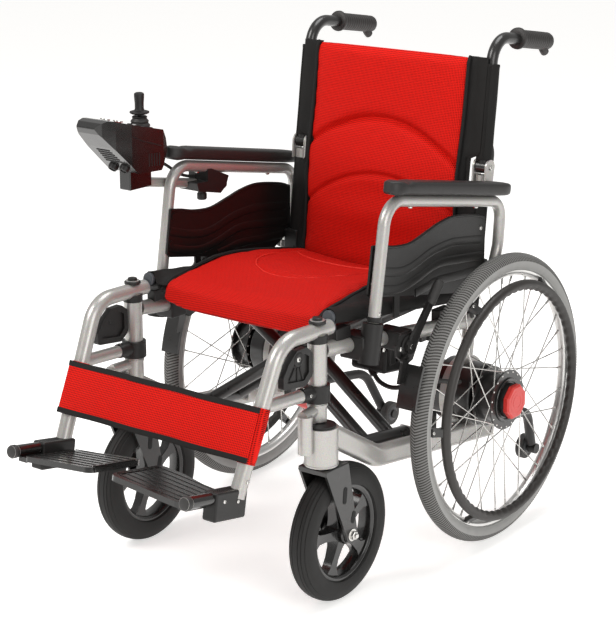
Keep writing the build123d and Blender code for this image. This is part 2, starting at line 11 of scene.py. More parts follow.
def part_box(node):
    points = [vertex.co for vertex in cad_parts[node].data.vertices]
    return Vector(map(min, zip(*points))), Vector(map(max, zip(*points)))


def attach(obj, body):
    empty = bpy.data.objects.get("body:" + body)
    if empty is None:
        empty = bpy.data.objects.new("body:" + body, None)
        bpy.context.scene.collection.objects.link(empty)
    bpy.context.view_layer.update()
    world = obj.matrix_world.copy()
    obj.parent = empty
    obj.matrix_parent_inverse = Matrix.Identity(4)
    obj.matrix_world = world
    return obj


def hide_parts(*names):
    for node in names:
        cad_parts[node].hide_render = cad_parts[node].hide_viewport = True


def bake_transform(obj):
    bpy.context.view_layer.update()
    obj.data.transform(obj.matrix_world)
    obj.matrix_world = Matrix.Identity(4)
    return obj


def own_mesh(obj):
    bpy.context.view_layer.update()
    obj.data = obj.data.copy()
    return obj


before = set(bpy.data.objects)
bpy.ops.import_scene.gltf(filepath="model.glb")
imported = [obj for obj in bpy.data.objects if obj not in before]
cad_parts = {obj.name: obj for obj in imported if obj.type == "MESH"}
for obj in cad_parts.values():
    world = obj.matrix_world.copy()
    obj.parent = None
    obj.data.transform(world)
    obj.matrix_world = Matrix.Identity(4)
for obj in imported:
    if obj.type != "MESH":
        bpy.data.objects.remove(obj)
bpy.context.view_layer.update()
SIDES = {"left": 1, "right": -1}


def centre(node):
    low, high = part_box(node)
    return (low + high) / 2


AXLE = centre("left_rear_hub")
AXLE_Y, AXLE_Z = AXLE.y * 1000, AXLE.z * 1000
PITCH = math.radians(6.8)          # the frame leans back by this


def at(x, y, z):
    """Point in the row frame from millimetres, y counted from the rear axle."""
    return Vector((x, y + AXLE_Y, z)) / 1000


def lean(x, v, w):
    """Point in the leaning frame: v runs back along the rails from the brace pivots, w up the canes."""
    c, s = math.cos(PITCH), math.sin(PITCH)
    return at(x, -250 + v * c + w * s, 245 + w * c - v * s)


# ---------------------------------------------------------------- materials
def add_node(mat, kind, inputs=(), **settings):
    """New shader node; each input is given a value, or the socket that it is linked to."""
    node = mat.node_tree.nodes.new("ShaderNode" + kind)
    for name, value in settings.items():
        setattr(node, name, value)
    for name, value in dict(inputs).items():
        if isinstance(value, bpy.types.NodeSocket):
            mat.node_tree.links.new(value, node.inputs[name])
        else:
            node.inputs[name].default_value = value
    return node


def plug_in(mat, source, name):
    shader = mat.node_tree.nodes["Principled BSDF"]
    mat.node_tree.links.new(source, shader.inputs[name])


def colour_source(mat):
    return mat.node_tree.nodes["Principled BSDF"].inputs["Base Color"].links[0].from_socket


def material(name, colour, rough, metal=0.0, coat=0.0, spread=0.12, rough_spread=0.08, bump=0.0, size=60.0,
             fleck=0.0, specular=0.5):
    """Principled material with a soft change of tone and gloss over the surface, and a fine grain."""
    mat = bpy.data.materials.new(name)
    mat.use_nodes = True
    shader = mat.node_tree.nodes["Principled BSDF"]
    place = add_node(mat, "TexCoord").outputs["Object"]
    broad = add_node(mat, "TexNoise", {"Scale": size, "Detail": 5, "Vector": place}).outputs["Fac"]
    dark = (*[c * (1 - spread) for c in colour], 1)
    light = (*[min(1, c * (1 + spread)) for c in colour], 1)
    tone = add_node(mat, "Mix", {"A": dark, "B": light, "Factor": broad}, data_type="RGBA").outputs["Result"]
    if fleck:
        sparks = add_node(mat, "TexVoronoi", {"Scale": 2600, "Vector": place}).outputs["Color"]
        tone = add_node(mat, "Mix", {"Factor": fleck, "A": tone, "B": sparks}, data_type="RGBA",
                        blend_type="SOFT_LIGHT").outputs["Result"]
    plug_in(mat, tone, "Base Color")
    gloss = add_node(mat, "MapRange", {"To Min": max(0.02, rough - rough_spread),
                                       "To Max": min(1, rough + rough_spread), "Value": broad})
    plug_in(mat, gloss.outputs["Result"], "Roughness")
    shader.inputs["Metallic"].default_value = metal
    shader.inputs["Coat Weight"].default_value = coat
    shader.inputs["Coat Roughness"].default_value = 0.12
    shader.inputs["Specular IOR Level"].default_value = specular
    if bump:
        grain = add_node(mat, "TexNoise", {"Scale": 1400, "Detail": 2, "Vector": place}).outputs["Fac"]
        relief = add_node(mat, "Bump", {"Strength": bump, "Distance": 0.0004, "Height": grain})
        plug_in(mat, relief.outputs["Normal"], "Normal")
    return mat


def mesh_fabric(name, colour, hole_shade, pitch, tilt=(0, 0, 0), turn=0.0, depth=0.0007):
    """Knitted spacer mesh: staggered rows of small eyelets, laid out in the plane turned by tilt; the eyelets
    are painted in the darker hole colour as shade in their hollows, and sunk by a bump.
    """
    mat = material(name, colour, 0.7, spread=0.05, specular=0.12)
    place = add_node(mat, "TexCoord").outputs["Object"]
    flat = add_node(mat, "Mapping", {"Rotation": tilt, "Vector": place}, vector_type="TEXTURE").outputs[0]
    scale = [2 * math.pi / pitch * 1000] * 3
    spun = add_node(mat, "Mapping", {"Rotation": (0, 0, turn), "Scale": scale, "Vector": flat}).outputs[0]
    axes = add_node(mat, "SeparateXYZ", {"Vector": spun})
    waves = [add_node(mat, "Math", {0: axes.outputs[axis]}, operation="SINE").outputs[0] for axis in "XY"]
    both = add_node(mat, "Math", {0: waves[0], 1: waves[1]}, operation="MULTIPLY").outputs[0]
    eyelet = add_node(mat, "MapRange", {"From Min": 0.05, "From Max": 0.75, "Value": both},
                      interpolation_type="SMOOTHSTEP").outputs["Result"]
    # Painted shade: the eyelets are mixed toward the darker hole colour, as the shade inside the holes.
    mix = add_node(mat, "Mix", {"A": colour_source(mat), "B": (*hole_shade, 1), "Factor": eyelet}, data_type="RGBA")
    plug_in(mat, mix.outputs["Result"], "Base Color")
    relief = add_node(mat, "Bump", {"Strength": 0.6, "Distance": depth, "Height": eyelet}, invert=True)
    plug_in(mat, relief.outputs["Normal"], "Normal")
    return mat


SILVER = material("silver_paint", (0.43, 0.418, 0.40), 0.34, metal=0.55, coat=0.35, spread=0.05, fleck=0.5)
STEEL = material("steel", (0.62, 0.61, 0.59), 0.25, metal=1.0, spread=0.08)
ALLOY = material("alloy_rim", (0.72, 0.715, 0.70), 0.30, metal=0.85, coat=0.1, spread=0.05)
BLACK_PAINT = material("black_paint", (0.012, 0.0115, 0.011), 0.30, coat=0.3, spread=0.2)
BLACK_GLOSS = material("black_gloss", (0.008, 0.0076, 0.0072), 0.22, coat=0.4, spread=0.15)
BLACK_PLASTIC = material("black_plastic", (0.012, 0.0113, 0.011), 0.42, spread=0.15, bump=0.25, specular=0.35)
PANEL = material("panel_plastic", (0.007, 0.0064, 0.0060), 0.34, spread=0.15, bump=0.3, specular=0.35)
RUBBER = material("black_rubber", (0.022, 0.021, 0.020), 0.55, spread=0.2, bump=0.3)
GRIP = material("grip_rubber", (0.022, 0.020, 0.019), 0.50, spread=0.15, bump=0.35)
PAD = material("pad_skin", (0.016, 0.0145, 0.014), 0.46, spread=0.15, bump=0.35, specular=0.4)
TYRE_GREY = material("grey_tyre", (0.31, 0.308, 0.30), 0.72, spread=0.10, bump=0.2, specular=0.3)
TYRE_BLACK = material("black_tyre", (0.013, 0.0125, 0.012), 0.60, spread=0.2, bump=0.25, specular=0.3)
NYLON = material("black_nylon", (0.011, 0.0105, 0.010), 0.72, spread=0.2, bump=0.5, specular=0.2)
RED_PLASTIC = material("red_plastic", (0.58, 0.022, 0.016), 0.32, coat=0.2, spread=0.08)
HANDRIM = material("handrim_coat", (0.020, 0.017, 0.015), 0.46, spread=0.2, bump=0.3)
END_CAP = material("blue_grey_cap", (0.045, 0.050, 0.058), 0.45, spread=0.1)
BRACKET = material("grey_block", (0.060, 0.062, 0.066), 0.5, spread=0.15, bump=0.3)
WHITE_MARK = material("white_mark", (0.75, 0.74, 0.72), 0.5, spread=0.03)
# Painted shade: near-black sheets laid over slots, gaps and vents stand for the shade inside the openings.
SLOT_SHADE = material("painted_slot_shade", (0.006, 0.006, 0.006), 0.8, spread=0.1)
FLOOR = material("floor", (0.90, 0.895, 0.885), 0.9, spread=0.01)
RED = (0.66, 0.0085, 0.0035)
# Painted shade: the darker red put in the eyelets of the mesh, where shade falls in the holes.
RED_EYELET_SHADE = (0.15, 0.002, 0.001)
SEAM_THREAD = material("seam_thread", (0.64, 0.022, 0.012), 0.6, spread=0.1, specular=0.3)
# The seat mesh is the same red fabric as the back, painted as a darker copy for the shade on the seat.
SEAT_RED_SHADED = (0.56, 0.0072, 0.0030)
EYELET_TURN = math.radians(45)
BACK_MESH = mesh_fabric("red_mesh_back", RED, RED_EYELET_SHADE, 4.4, (math.radians(90), 0, 0), EYELET_TURN)
SEAT_MESH = mesh_fabric("red_mesh_seat", SEAT_RED_SHADED, RED_EYELET_SHADE, 4.4, (math.radians(40), 0, 0), EYELET_TURN)
# The strap's eyelets are painted a still darker red as shade in its holes.
STRAP_MESH = mesh_fabric("red_mesh_strap", RED, (0.12, 0.003, 0.002), 5.0, (math.radians(90), 0, 0),
                         EYELET_TURN, depth=0.0012)


TREAD_BLOCKS = 300
TREAD_SLANT = 480.0                # phase of the tread pattern in radians for each metre away from the middle


def groove_shaded_tread(name, wheel_x):
    """Tyre rubber for the tread face, whose grooves, a herringbone about the axle, are painted near-black as
    the shade in the grooves.
    """
    mat = material(name, (0.19, 0.188, 0.183), 0.78, spread=0.12, bump=0.2, specular=0.3)
    axle = (-wheel_x / 1000, -AXLE_Y / 1000, -AXLE_Z / 1000)
    place = add_node(mat, "TexCoord").outputs["Object"]
    moved = add_node(mat, "Mapping", {"Location": axle, "Vector": place}).outputs["Vector"]
    axes = add_node(mat, "SeparateXYZ", {"Vector": moved}).outputs

    def step(kind, *values):
        return add_node(mat, "Math", dict(enumerate(values)), operation=kind).outputs[0]
    turn = step("MULTIPLY", step("ARCTAN2", axes["Z"], axes["Y"]), float(TREAD_BLOCKS))
    slant = step("MULTIPLY", step("ABSOLUTE", axes["X"]), TREAD_SLANT)
    wave = step("SINE", step("ADD", turn, slant))
    groove = add_node(mat, "MapRange", {"From Min": -0.45, "From Max": 0.15, "Value": wave},
                      interpolation_type="SMOOTHSTEP").outputs["Result"]
    # Painted shade: the grooves are mixed toward near-black, the shade that falls in them.
    mix = add_node(mat, "Mix", {"A": (0.045, 0.043, 0.040, 1), "Factor": groove, "B": colour_source(mat)},
                   data_type="RGBA")
    plug_in(mat, mix.outputs["Result"], "Base Color")
    return mat


# ---------------------------------------------------------------- mesh helpers
def make(name, verts, faces, mat, body, replaces=(), smooth=40, bevel=0.0):
    """Mesh from points in the row frame, riding on a body and standing for the CAD nodes it replaces."""
    data = bpy.data.meshes.new(name)
    data.from_pydata([tuple(v) for v in verts], [], faces)
    obj = bpy.data.objects.new(name, data)
    bpy.context.scene.collection.objects.link(obj)
    tidy = bmesh.new()
    tidy.from_mesh(data)
    bmesh.ops.recalc_face_normals(tidy, faces=tidy.faces)
    tidy.to_mesh(data)
    tidy.free()
    finish_mesh(obj, mat, smooth, bevel)
    if replaces:
        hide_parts(*replaces)
    if body:
        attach(obj, body)
    return obj


def finish_mesh(obj, mat, smooth=40, bevel=0.0):
    obj.data.materials.clear()
    obj.data.materials.append(mat)
    obj.data.shade_smooth()
    obj.data.set_sharp_from_angle(angle=math.radians(smooth))
    if bevel:
        edge = obj.modifiers.new("edge", "BEVEL")
        edge.width = bevel / 1000
        edge.segments = 3
        edge.limit_method = "ANGLE"
        edge.angle_limit = math.radians(35)
        edge.harden_normals = True


def ease(t):
    t = np.clip(t, 0, 1)
    return t * t * (3 - 2 * t)


def quads(rows, n, ring=False, closed=True):
    """Faces of a net of rows of n points; ring joins the last row to the first, closed each row's ends."""
    return [(j * n + i, j * n + (i + 1) % n, (j + 1) % rows * n + (i + 1) % n, (j + 1) % rows * n + i)
            for j in range(rows if ring else rows - 1)
            for i in range(n if closed else n - 1)]


def caps(rows, n):
    """Faces that close the first and last row of a net."""
    return [tuple(range(n)), tuple((rows - 1) * n + i for i in range(n))]


def about(point, angle):
    """Turn about a line along X through the point."""
    return Matrix.Translation(point) @ Matrix.Rotation(angle, 4, "X") @ Matrix.Translation(-point)


def lathe(x0, y0, z0, profile, segments=96, shape=None):
    """Closed profile of (x, radius) turned about an axle along X; shape(angle, i) adds to a radius."""
    angles = np.linspace(0, 2 * math.pi, segments, endpoint=False)
    n = len(profile)
    verts = []
    for a in angles:
        for i, (x, r) in enumerate(profile):
            r = r + (shape(a, i) if shape else 0)
            verts.append(at(x0 + x, y0 + r * math.cos(a), z0 + r * math.sin(a)))
    return verts, quads(segments, n, ring=True)


def turned(a, b, profile, segments=32):
    """Solid turned about the line from a to b; the profile is (distance from a in mm, radius)."""
    a, b = Vector(a), Vector(b)
    axis = (b - a).normalized()
    side = axis.orthogonal().normalized()
    other = axis.cross(side)
    verts, n = [], len(profile)
    for k in range(segments):
        t = 2 * math.pi * k / segments
        out = side * math.cos(t) + other * math.sin(t)
        verts += [a + axis * d / 1000 + out * r / 1000 for d, r in profile]
    faces = quads(segments, n, ring=True, closed=False)
    faces += [tuple(k * n for k in range(segments)), tuple(k * n + n - 1 for k in range(segments))]
    return verts, faces


def rod(a, b, radius, sides=10):
    length = (Vector(b) - Vector(a)).length * 1000
    return turned(a, b, [(0, radius), (length, radius)], sides)


def slab(corners, thickness):
    """Plate between an outline of points and the same outline moved by the thickness vector (metres)."""
    n = len(corners)
    move = Vector(thickness)
    verts = [Vector(c) for c in corners] + [Vector(c) + move for c in corners]
    faces = [tuple(range(n)), tuple(range(n, 2 * n))]
    faces += [(i, (i + 1) % n, n + (i + 1) % n, n + i) for i in range(n)]
    return verts, faces


def brick(x, y, z):
    """Box between (low, high) pairs in millimetres."""
    corners = [at(x[0], y[0], z[0]), at(x[1], y[0], z[0]), at(x[1], y[1], z[0]), at(x[0], y[1], z[0])]
    return slab(corners, (0, 0, (z[1] - z[0]) / 1000))


def joined(shapes):
    verts, faces = [], []
    for v, f in shapes:
        offset = len(verts)
        verts += list(v)
        faces += [tuple(i + offset for i in face) for face in f]
    return verts, faces


def bolt(a, direction, radius, height, recess=True):
    """Button-head screw standing on a, its head along direction."""
    a, d = Vector(a), Vector(direction).normalized()
    profile = [(0, radius), (height * 0.45, radius), (height * 0.8, radius * 0.86), (height, radius * 0.55)]
    if recess:
        profile += [(height, radius * 0.42), (height * 0.5, radius * 0.38)]
    return turned(a, a + d, profile, 20)


def curve_points(knots, steps=8):
    """Catmull-Rom line through the knots."""
    pts = [Vector(k) for k in knots]
    pts = [2 * pts[0] - pts[1]] + pts + [2 * pts[-1] - pts[-2]]
    line = []
    for p0, p1, p2, p3 in zip(pts, pts[1:], pts[2:], pts[3:]):
        for k in range(steps):
            t = k / steps
            line.append(0.5 * (2 * p1 + (p2 - p0) * t + (2 * p0 - 5 * p1 + 4 * p2 - p3) * t ** 2
                               + (3 * p1 - p0 - 3 * p2 + p3) * t ** 3))
    return line + [pts[-2]]


def pipe(knots, radius, sides=12, steps=8, flat=1.0, up=None):
    """Tube along a smooth line; flat under 1 makes a ribbon whose thin way is nearest to up."""
    line = curve_points(knots, steps) if steps else [Vector(k) for k in knots]
    verts, n = [], len(line)
    side = None
    for i, p in enumerate(line):
        t = (line[min(i + 1, n - 1)] - line[max(i - 1, 0)]).normalized()
        ref = Vector(up) if up else (side or t.orthogonal())
        thin = (ref - t * ref.dot(t)).normalized()
        side = thin
        wide = t.cross(thin)
        for k in range(sides):
            a = 2 * math.pi * k / sides
            verts.append(p + (thin * math.sin(a) * flat + wide * math.cos(a)) * radius / 1000)
    return verts, quads(n, sides) + caps(n, sides)


def dress(node, mat, bevel=0.0, smooth=32):
    """Keeps a CAD node as it is and gives it a finish, with its edges broken by a bevel."""
    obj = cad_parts[node]
    finish_mesh(obj, mat, smooth, bevel)
    return obj


# ---------------------------------------------------------------- rear wheels
SPOKES = 36
HUB_HOLE_R = 54.0
RIM_HOLE_R = 238
HANDRIM_R = 224.5
HANDRIM_TUBE_R = 8.9


def rear_tyre(side, k, body, wheel_x):
    rim_r, section = 261.5, 18.3

    tyre, kinds = [], []
    for i in range(26):
        a = math.radians(-146 + 292 * i / 25)
        tyre.append((section * math.sin(a), rim_r + section * math.cos(a)))
        kinds.append(abs(math.degrees(a)))
    tyre += [(8.5, 245.5), (-8.5, 245.5)]

    def tread(angle, i):
        if i >= len(kinds) or kinds[i] > 74:
            return 0
        wave = math.sin(TREAD_BLOCKS * angle + TREAD_SLANT * abs(tyre[i][0]) / 1000)
        return 0.3 - 1.5 * float(ease(np.array((0.15 - wave) / 0.6)))
    segments = 6 * TREAD_BLOCKS
    verts, faces = lathe(wheel_x, 0, AXLE_Z, tyre, segments, tread)
    cover = make(f"{side}_tyre_tread", verts, faces, TYRE_GREY, body, [f"{side}_rear_tyre"], 60)
    cover.data.materials.append(groove_shaded_tread(f"{side}_groove_shaded_tread", wheel_x))
    n = len(tyre)
    for face in cover.data.polygons:
        rows = [v % n for v in face.vertices]
        if max(rows) < len(kinds) and max(kinds[r] for r in rows) < 80:
            face.material_index = 1

    bead = [(k * x, r) for x, r in ((14.8, 252.5), (15.9, 251.2), (15.2, 249.6), (13.4, 249.8))]
    verts, faces = lathe(wheel_x, 0, AXLE_Z, bead, 180)
    make(f"{side}_tyre_bead", verts, faces, TYRE_GREY, body, smooth=80)


def rear_rim(side, body, wheel_x):
    """Rim, laced spokes, nipples and valve."""
    profile = [(-12.4, 251), (-12.4, 244.5), (-11.4, 242.6), (-8, 239), (-4, 236.8), (4, 236.8), (8, 239),
               (11.4, 242.6), (12.4, 244.5), (12.4, 251), (10.8, 251), (10.4, 246.5), (-10.4, 246.5),
               (-10.8, 251)]
    verts, faces = lathe(wheel_x, 0, AXLE_Z, profile, 200)
    make(f"{side}_rim", verts, faces, ALLOY, body, [f"{side}_rear_rim"], 30)

    spokes, nipples = [], []
    for n in range(SPOKES):
        out = 1 if n % 2 else -1
        lace = math.radians(60 if n % 4 < 2 else -60)
        rim_a = 2 * math.pi * n / SPOKES
        hub_a = rim_a + lace
        start = at(wheel_x + 19 * out, HUB_HOLE_R * math.cos(hub_a), AXLE_Z + HUB_HOLE_R * math.sin(hub_a))
        end = at(wheel_x + 2 * out, RIM_HOLE_R * math.cos(rim_a), AXLE_Z + RIM_HOLE_R * math.sin(rim_a))
        spokes.append(rod(start, end, 1.15, 8))
        along = (start - end).normalized()
        nipples.append(turned(end, end + along, [(-1, 2.3), (1.5, 2.6), (3, 2.0), (13, 1.9)], 8))
        outward = Vector((math.copysign(1, out), 0, 0))
        spoke_head = [(0, 2.4), (1.2, 2.1), (2.0, 1.0)]
        nipples.append(turned(start + outward * 0.0012, start + outward, spoke_head, 8))
    make(f"{side}_spokes", *joined(spokes), STEEL, body)
    make(f"{side}_nipples", *joined(nipples), STEEL, body)
    valve_a = math.radians(118)
    valve = [at(wheel_x, r * math.cos(valve_a), AXLE_Z + r * math.sin(valve_a)) for r in (238, 206)]
    stem = turned(*valve, [(0, 3.2), (16, 3.2), (17, 4), (31, 4), (32, 3)], 14)
    make(f"{side}_valve", *stem, RUBBER, body)


def handrim(side, k, body, wheel_x):
    """Push ring with finger waves, and its six tabs."""
    low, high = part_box(f"{side}_handrim")
    ring_x = (high.x if k > 0 else low.x) * 1000 - k * 9
    grip_profile = [(HANDRIM_TUBE_R * math.sin(t), HANDRIM_R + HANDRIM_TUBE_R * math.cos(t))
                    for t in np.linspace(0, 2 * math.pi, 20, endpoint=False)]

    def fingers(angle, i):
        inner = max(0, -math.cos(2 * math.pi * i / 20))
        return -2.4 * inner * (0.5 + 0.5 * math.sin(64 * angle))
    verts, faces = lathe(ring_x, 0, AXLE_Z, grip_profile, 640, fingers)
    make(f"{side}_handrim_ring", verts, faces, HANDRIM, body, [f"{side}_handrim"], 80)
    tabs, screws = [], []
    for n in range(6):
        a = math.radians(30 + 60 * n)
        turn = about(at(0, 0, AXLE_Z), a)
        outline = [(12.2, 236), (12.2, 246), (17, 246), (25, 238), (31, 234), (31, 225), (24, 227), (16, 234)]
        corners = [at(wheel_x + k * x, -8, AXLE_Z + r) for x, r in outline]
        verts, faces = slab(corners, (0, 0.016, 0))
        tabs.append(([turn @ v for v in verts], faces))
        head = at(wheel_x + k * 17.5, 0, AXLE_Z + 243)
        verts, faces = bolt(head, (k, 0, 0.4), 3.4, 2.6)
        screws.append(([turn @ v for v in verts], faces))
    make(f"{side}_handrim_tabs", *joined(tabs), BLACK_PAINT, body, bevel=1.2)
    make(f"{side}_handrim_screws", *joined(screws), STEEL, body)


def rear_hub(side, k, body):
    dress(f"{side}_rear_hub", BLACK_PAINT, 0.8)
    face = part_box(f"{side}_rear_hub")[1 if k > 0 else 0].x * 1000
    ring = [(0.1, 36), (2.6, 36.5), (3.4, 37.5), (3.4, 42), (2.4, 43), (0.1, 43)]
    verts, faces = lathe(face - k * 11, 0, AXLE_Z, [(k * x, r) for x, r in ring], 72)
    make(f"{side}_hub_collar", verts, faces, BLACK_GLOSS, body)
    dress(f"{side}_hub_cap", RED_PLASTIC, 1.0)
    rings = []
    cap_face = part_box(f"{side}_hub_cap")[1 if k > 0 else 0].x * 1000
    for r in (12, 21):
        ridge = [(-k * 1.2, r), (k * 0.35, r + 0.4), (k * 0.35, r + 1.8), (-k * 1.2, r + 2.2)]
        rings.append(lathe(cap_face, 0, AXLE_Z, ridge, 64))
    make(f"{side}_hub_cap_rings", *joined(rings), RED_PLASTIC, body)


def rear_wheel(side):
    k = SIDES[side]
    body = f"{side}_rear_wheel"
    wheel_x = centre(f"{side}_rear_tyre").x * 1000
    rear_tyre(side, k, body, wheel_x)
    rear_rim(side, body, wheel_x)
    handrim(side, k, body, wheel_x)
    rear_hub(side, k, body)


for side in SIDES:
    rear_wheel(side)


# ---------------------------------------------------------------- casters
def caster(side):
    mid = centre(f"{side}_caster_rim") * 1000
    x0, y0, z0 = mid.x, mid.y - AXLE_Y, mid.z
    wheel = f"{side}_caster_wheel"
    outer = [(-22.5, 96), (-22.3, 106), (-21, 113), (-18, 119.2), (-16.4, 119.4), (-15.4, 122.3),
             (-12.6, 124.6), (-11.6, 123.6), (-10.6, 125.5), (-6.6, 126.6), (-5.8, 125.0), (-5.0, 126.8),
             (-1.0, 127)]
    profile = outer + [(-x, r) for x, r in reversed(outer)]
    profile += [(20.5, 89.5), (15.5, 87), (-15.5, 87), (-20.5, 89.5)]
    verts, faces = lathe(x0, y0, z0, profile, 200)
    make(f"{side}_caster_tread", verts, faces, TYRE_BLACK, wheel, [f"{side}_caster_tyre"], 38)

    rim = [(-17, 90), (-17, 84), (-14, 80), (-4, 77), (4, 77), (14, 80), (17, 84), (17, 90), (14.8, 90),
           (13, 86), (-13, 86), (-14.8, 90)]
    hub = [(-24, 7), (-24, 17), (-20, 19.5), (20, 19.5), (24, 17), (24, 7)]
    shapes = [lathe(x0, y0, z0, rim, 120), lathe(x0, y0, z0, hub, 60)]
    for n in range(5):
        a = 2 * math.pi * n / 5 + 0.35
        turn = about(at(x0, y0, z0), a)
        stations = ((16, 12.5, 13), (30, 9.2, 11), (50, 8.4, 9.5), (66, 10, 9.5), (80, 19, 11))
        verts = []
        for r, half, deep in stations:
            for dx, dy in ((-1, -1), (-1, 1), (1, 1), (1, -1)):
                verts.append(turn @ at(x0 + dx * deep, y0 + dy * half + (r - 16) * 0.16, z0 + r))
        shapes.append((verts, quads(len(stations), 4) + caps(len(stations), 4)))
    make(f"{side}_caster_spider", *joined(shapes), BLACK_GLOSS, wheel, [f"{side}_caster_rim"], 35, bevel=2.2)

    fork = f"{side}_caster"
    dress(f"{side}_caster_fork", BLACK_PAINT, 1.2)
    nuts = []
    for out in (1, -1):
        face = x0 + out * 31
        nuts.append(turned(at(face, y0, z0), at(face + out, y0, z0), [(0, 11.5), (1.6, 11.5), (2.0, 9)], 32))
        seat, beyond = at(face + out * 1.6, y0, z0), at(face + out * 2, y0, z0)
        nuts.append(turned(seat, beyond, [(0, 8.6), (5.5, 8.6), (6.6, 7.4), (6.6, 4), (9, 3.8)], 6))
        nuts.append(turned(seat, beyond, [(0, 4.6), (9.5, 4.6), (10.5, 3.6)], 20))
    make(f"{side}_caster_nuts", *joined(nuts), STEEL, fork, bevel=0.5)
    # The fork's slots are thin near-black sheets on the fork faces: painted shade where the openings are.
    slots = []
    for out in (1, -1):
        face = x0 + out * 31.05
        for y, z, long, lean_by in ((-22, 208, 17, 0.18), (3, 160, 11, 0.5)):
            c, s = math.cos(lean_by), math.sin(lean_by)
            outline = []
            for t in np.linspace(0, 2 * math.pi, 20, endpoint=False):
                u, v = 5.4 * math.cos(t), long * (0.62 if math.sin(t) > 0 else -0.62) + 5.4 * math.sin(t)
                outline.append(at(face, y0 + y + u * c + v * s * 0.6, z0 - 127 + z + v * c - u * s))
            slots.append(slab(outline, (out * 0.0006, 0, 0)))
    make(f"{side}_fork_slots", *joined(slots), SLOT_SHADE, fork)


for side in SIDES:
    caster(side)


# ---------------------------------------------------------------- frame, hangers and small hardware
def bolts(name, spots, body, mat=STEEL, bevel=0.0):
    shapes = [bolt(a, d, r, h) for a, d, r, h in spots]
    return make(name, *joined(shapes), mat, body, bevel=bevel)


def ring_band(a, b, radius, wall=1.2):
    """Short sleeve round the line from a to b."""
    length = (Vector(b) - Vector(a)).length * 1000
    profile = [(0, radius - wall), (0, radius - 0.4), (0.4, radius)]
    profile += [(length - d, r) for d, r in reversed(profile)]
    return turned(a, b, profile, 32)


CANE_X = 216
ARM_X = 249


def cane(x, z):
    """Centre of the back cane at a height, in millimetres."""
    return at(x, 55.3 - (709 - z) * math.tan(PITCH), z)


def post(k, z):
    """Centre of the front post at a height, in millimetres."""
    return at(k * 215, -460, z)


def frame_side(side):
    k = SIDES[side]
    body = f"{side}_frame"
    dress(f"{side}_side_frame", SILVER, 0.8)
    dress(f"{side}_frame_fittings", BLACK_PLASTIC, 1.2)
    dress(f"{side}_motor", BLACK_PAINT, 1.2)
    dress(f"{side}_clutch_lever", RED_PLASTIC, 1.2)
    out = Vector((k, 0, 0))

    spots = [
        (at(k * 261, -275, 436), out, 4.6, 3.0), (at(k * 261, -232, 446), out, 4.6, 3.0),
        (at(k * 228.5, 55.3, 709) + out * 0.0035, out, 5.2, 2.6),
        (at(k * 263, 43, 512) + out * 0.001, out, 5.5, 3.0),
        (at(k * 249, -338, 452) + out * 0.019, out, 3.8, 2.4),
        (at(k * 229, -302, 452.5), out, 3.6, 2.2), (at(k * 229, -186, 438.7), out, 3.6, 2.2),
        (at(k * 226, -15, 212), out, 4.2, 2.6), (at(k * 226, 22, 210), out, 4.2, 2.6)]
    bolts(f"{side}_frame_bolts", spots, body)
    lock_x = k * 261
    boss = turned(at(lock_x, -255, 438), at(lock_x + k, -255, 438), [(0, 20), (2.2, 20), (3, 18.5)], 40)
    make(f"{side}_lock_boss", *boss, BLACK_PLASTIC, body)

    welds = [ring_band(post(k, 371), post(k, 376), 18.2),
             ring_band(at(k * 230, -468, 270), at(k * 230, -468, 272.5), 31)]
    make(f"{side}_frame_bands", *joined(welds), SILVER, body)
    bushing = ring_band(post(k, 486), post(k, 499.6), 18.2, 3.2)
    make(f"{side}_post_bushing", *bushing, BLACK_PLASTIC, body)

    # The hinge slot is a thin near-black line: painted shade in the gap.
    slot_line = [at(k * 228.6, 55.3 + 11 * math.cos(t), 709 - 4 + 19 * math.sin(t))
                 for t in np.linspace(-2.2, -0.2, 12)]
    make(f"{side}_hinge_slot", *pipe(slot_line, 1.0, 8, 0), SLOT_SHADE, body)

    a, b = cane(k * CANE_X, 430), cane(k * CANE_X, 676)
    length = (b - a).length * 1000
    sleeve = [(0, 13.0), (0, 14.6), (2, 15), (length * 0.3, 14.7), (length * 0.6, 15.1), (length - 2, 14.8),
              (length, 13.2)]
    make(f"{side}_lower_sleeve", *turned(a, b, sleeve, 36), NYLON, body)
    tail = f"{side}_anti_tip"
    dress(f"{side}_anti_tip_wheel", RUBBER, 1.0)
    y, z = centre(f"{side}_anti_tip_wheel").y * 1000 - AXLE_Y, centre(f"{side}_anti_tip_wheel").z * 1000
    x_mid = centre(f"{side}_anti_tip_wheel").x * 1000
    disc_profile = [(-8.4, 5.2), (-8.4, 15.5), (-7.6, 16.5), (7.6, 16.5), (8.4, 15.5), (8.4, 5.2)]
    verts, faces = lathe(x_mid, y, z, disc_profile, 48)
    make(f"{side}_anti_tip_core", verts, faces, BRACKET, tail)


def lock(side):
    k = SIDES[side]
    body = f"{side}_lock"
    dress(f"{side}_wheel_lock_lever", BLACK_PLASTIC, 1.5)
    dress(f"{side}_wheel_lock_shoe", BLACK_PAINT, 1.0)
    a, b = at(k * 268, -196, 503.5), at(k * 268, -161, 542.5)
    length = (b - a).length * 1000
    profile = [(0, 7.6), (3, 9.2), (10, 9.6), (length - 14, 9.7), (length - 6, 9.0), (length - 1.5, 6.5),
               (length, 3)]
    make(f"{side}_lock_grip", *turned(a, b, profile, 32), RUBBER, body)
    verts, faces = bolt(at(k * 271.4, -255, 438), (k, 0, 0), 5.2, 3.2)
    make(f"{side}_lock_bolt", verts, faces, STEEL, body)


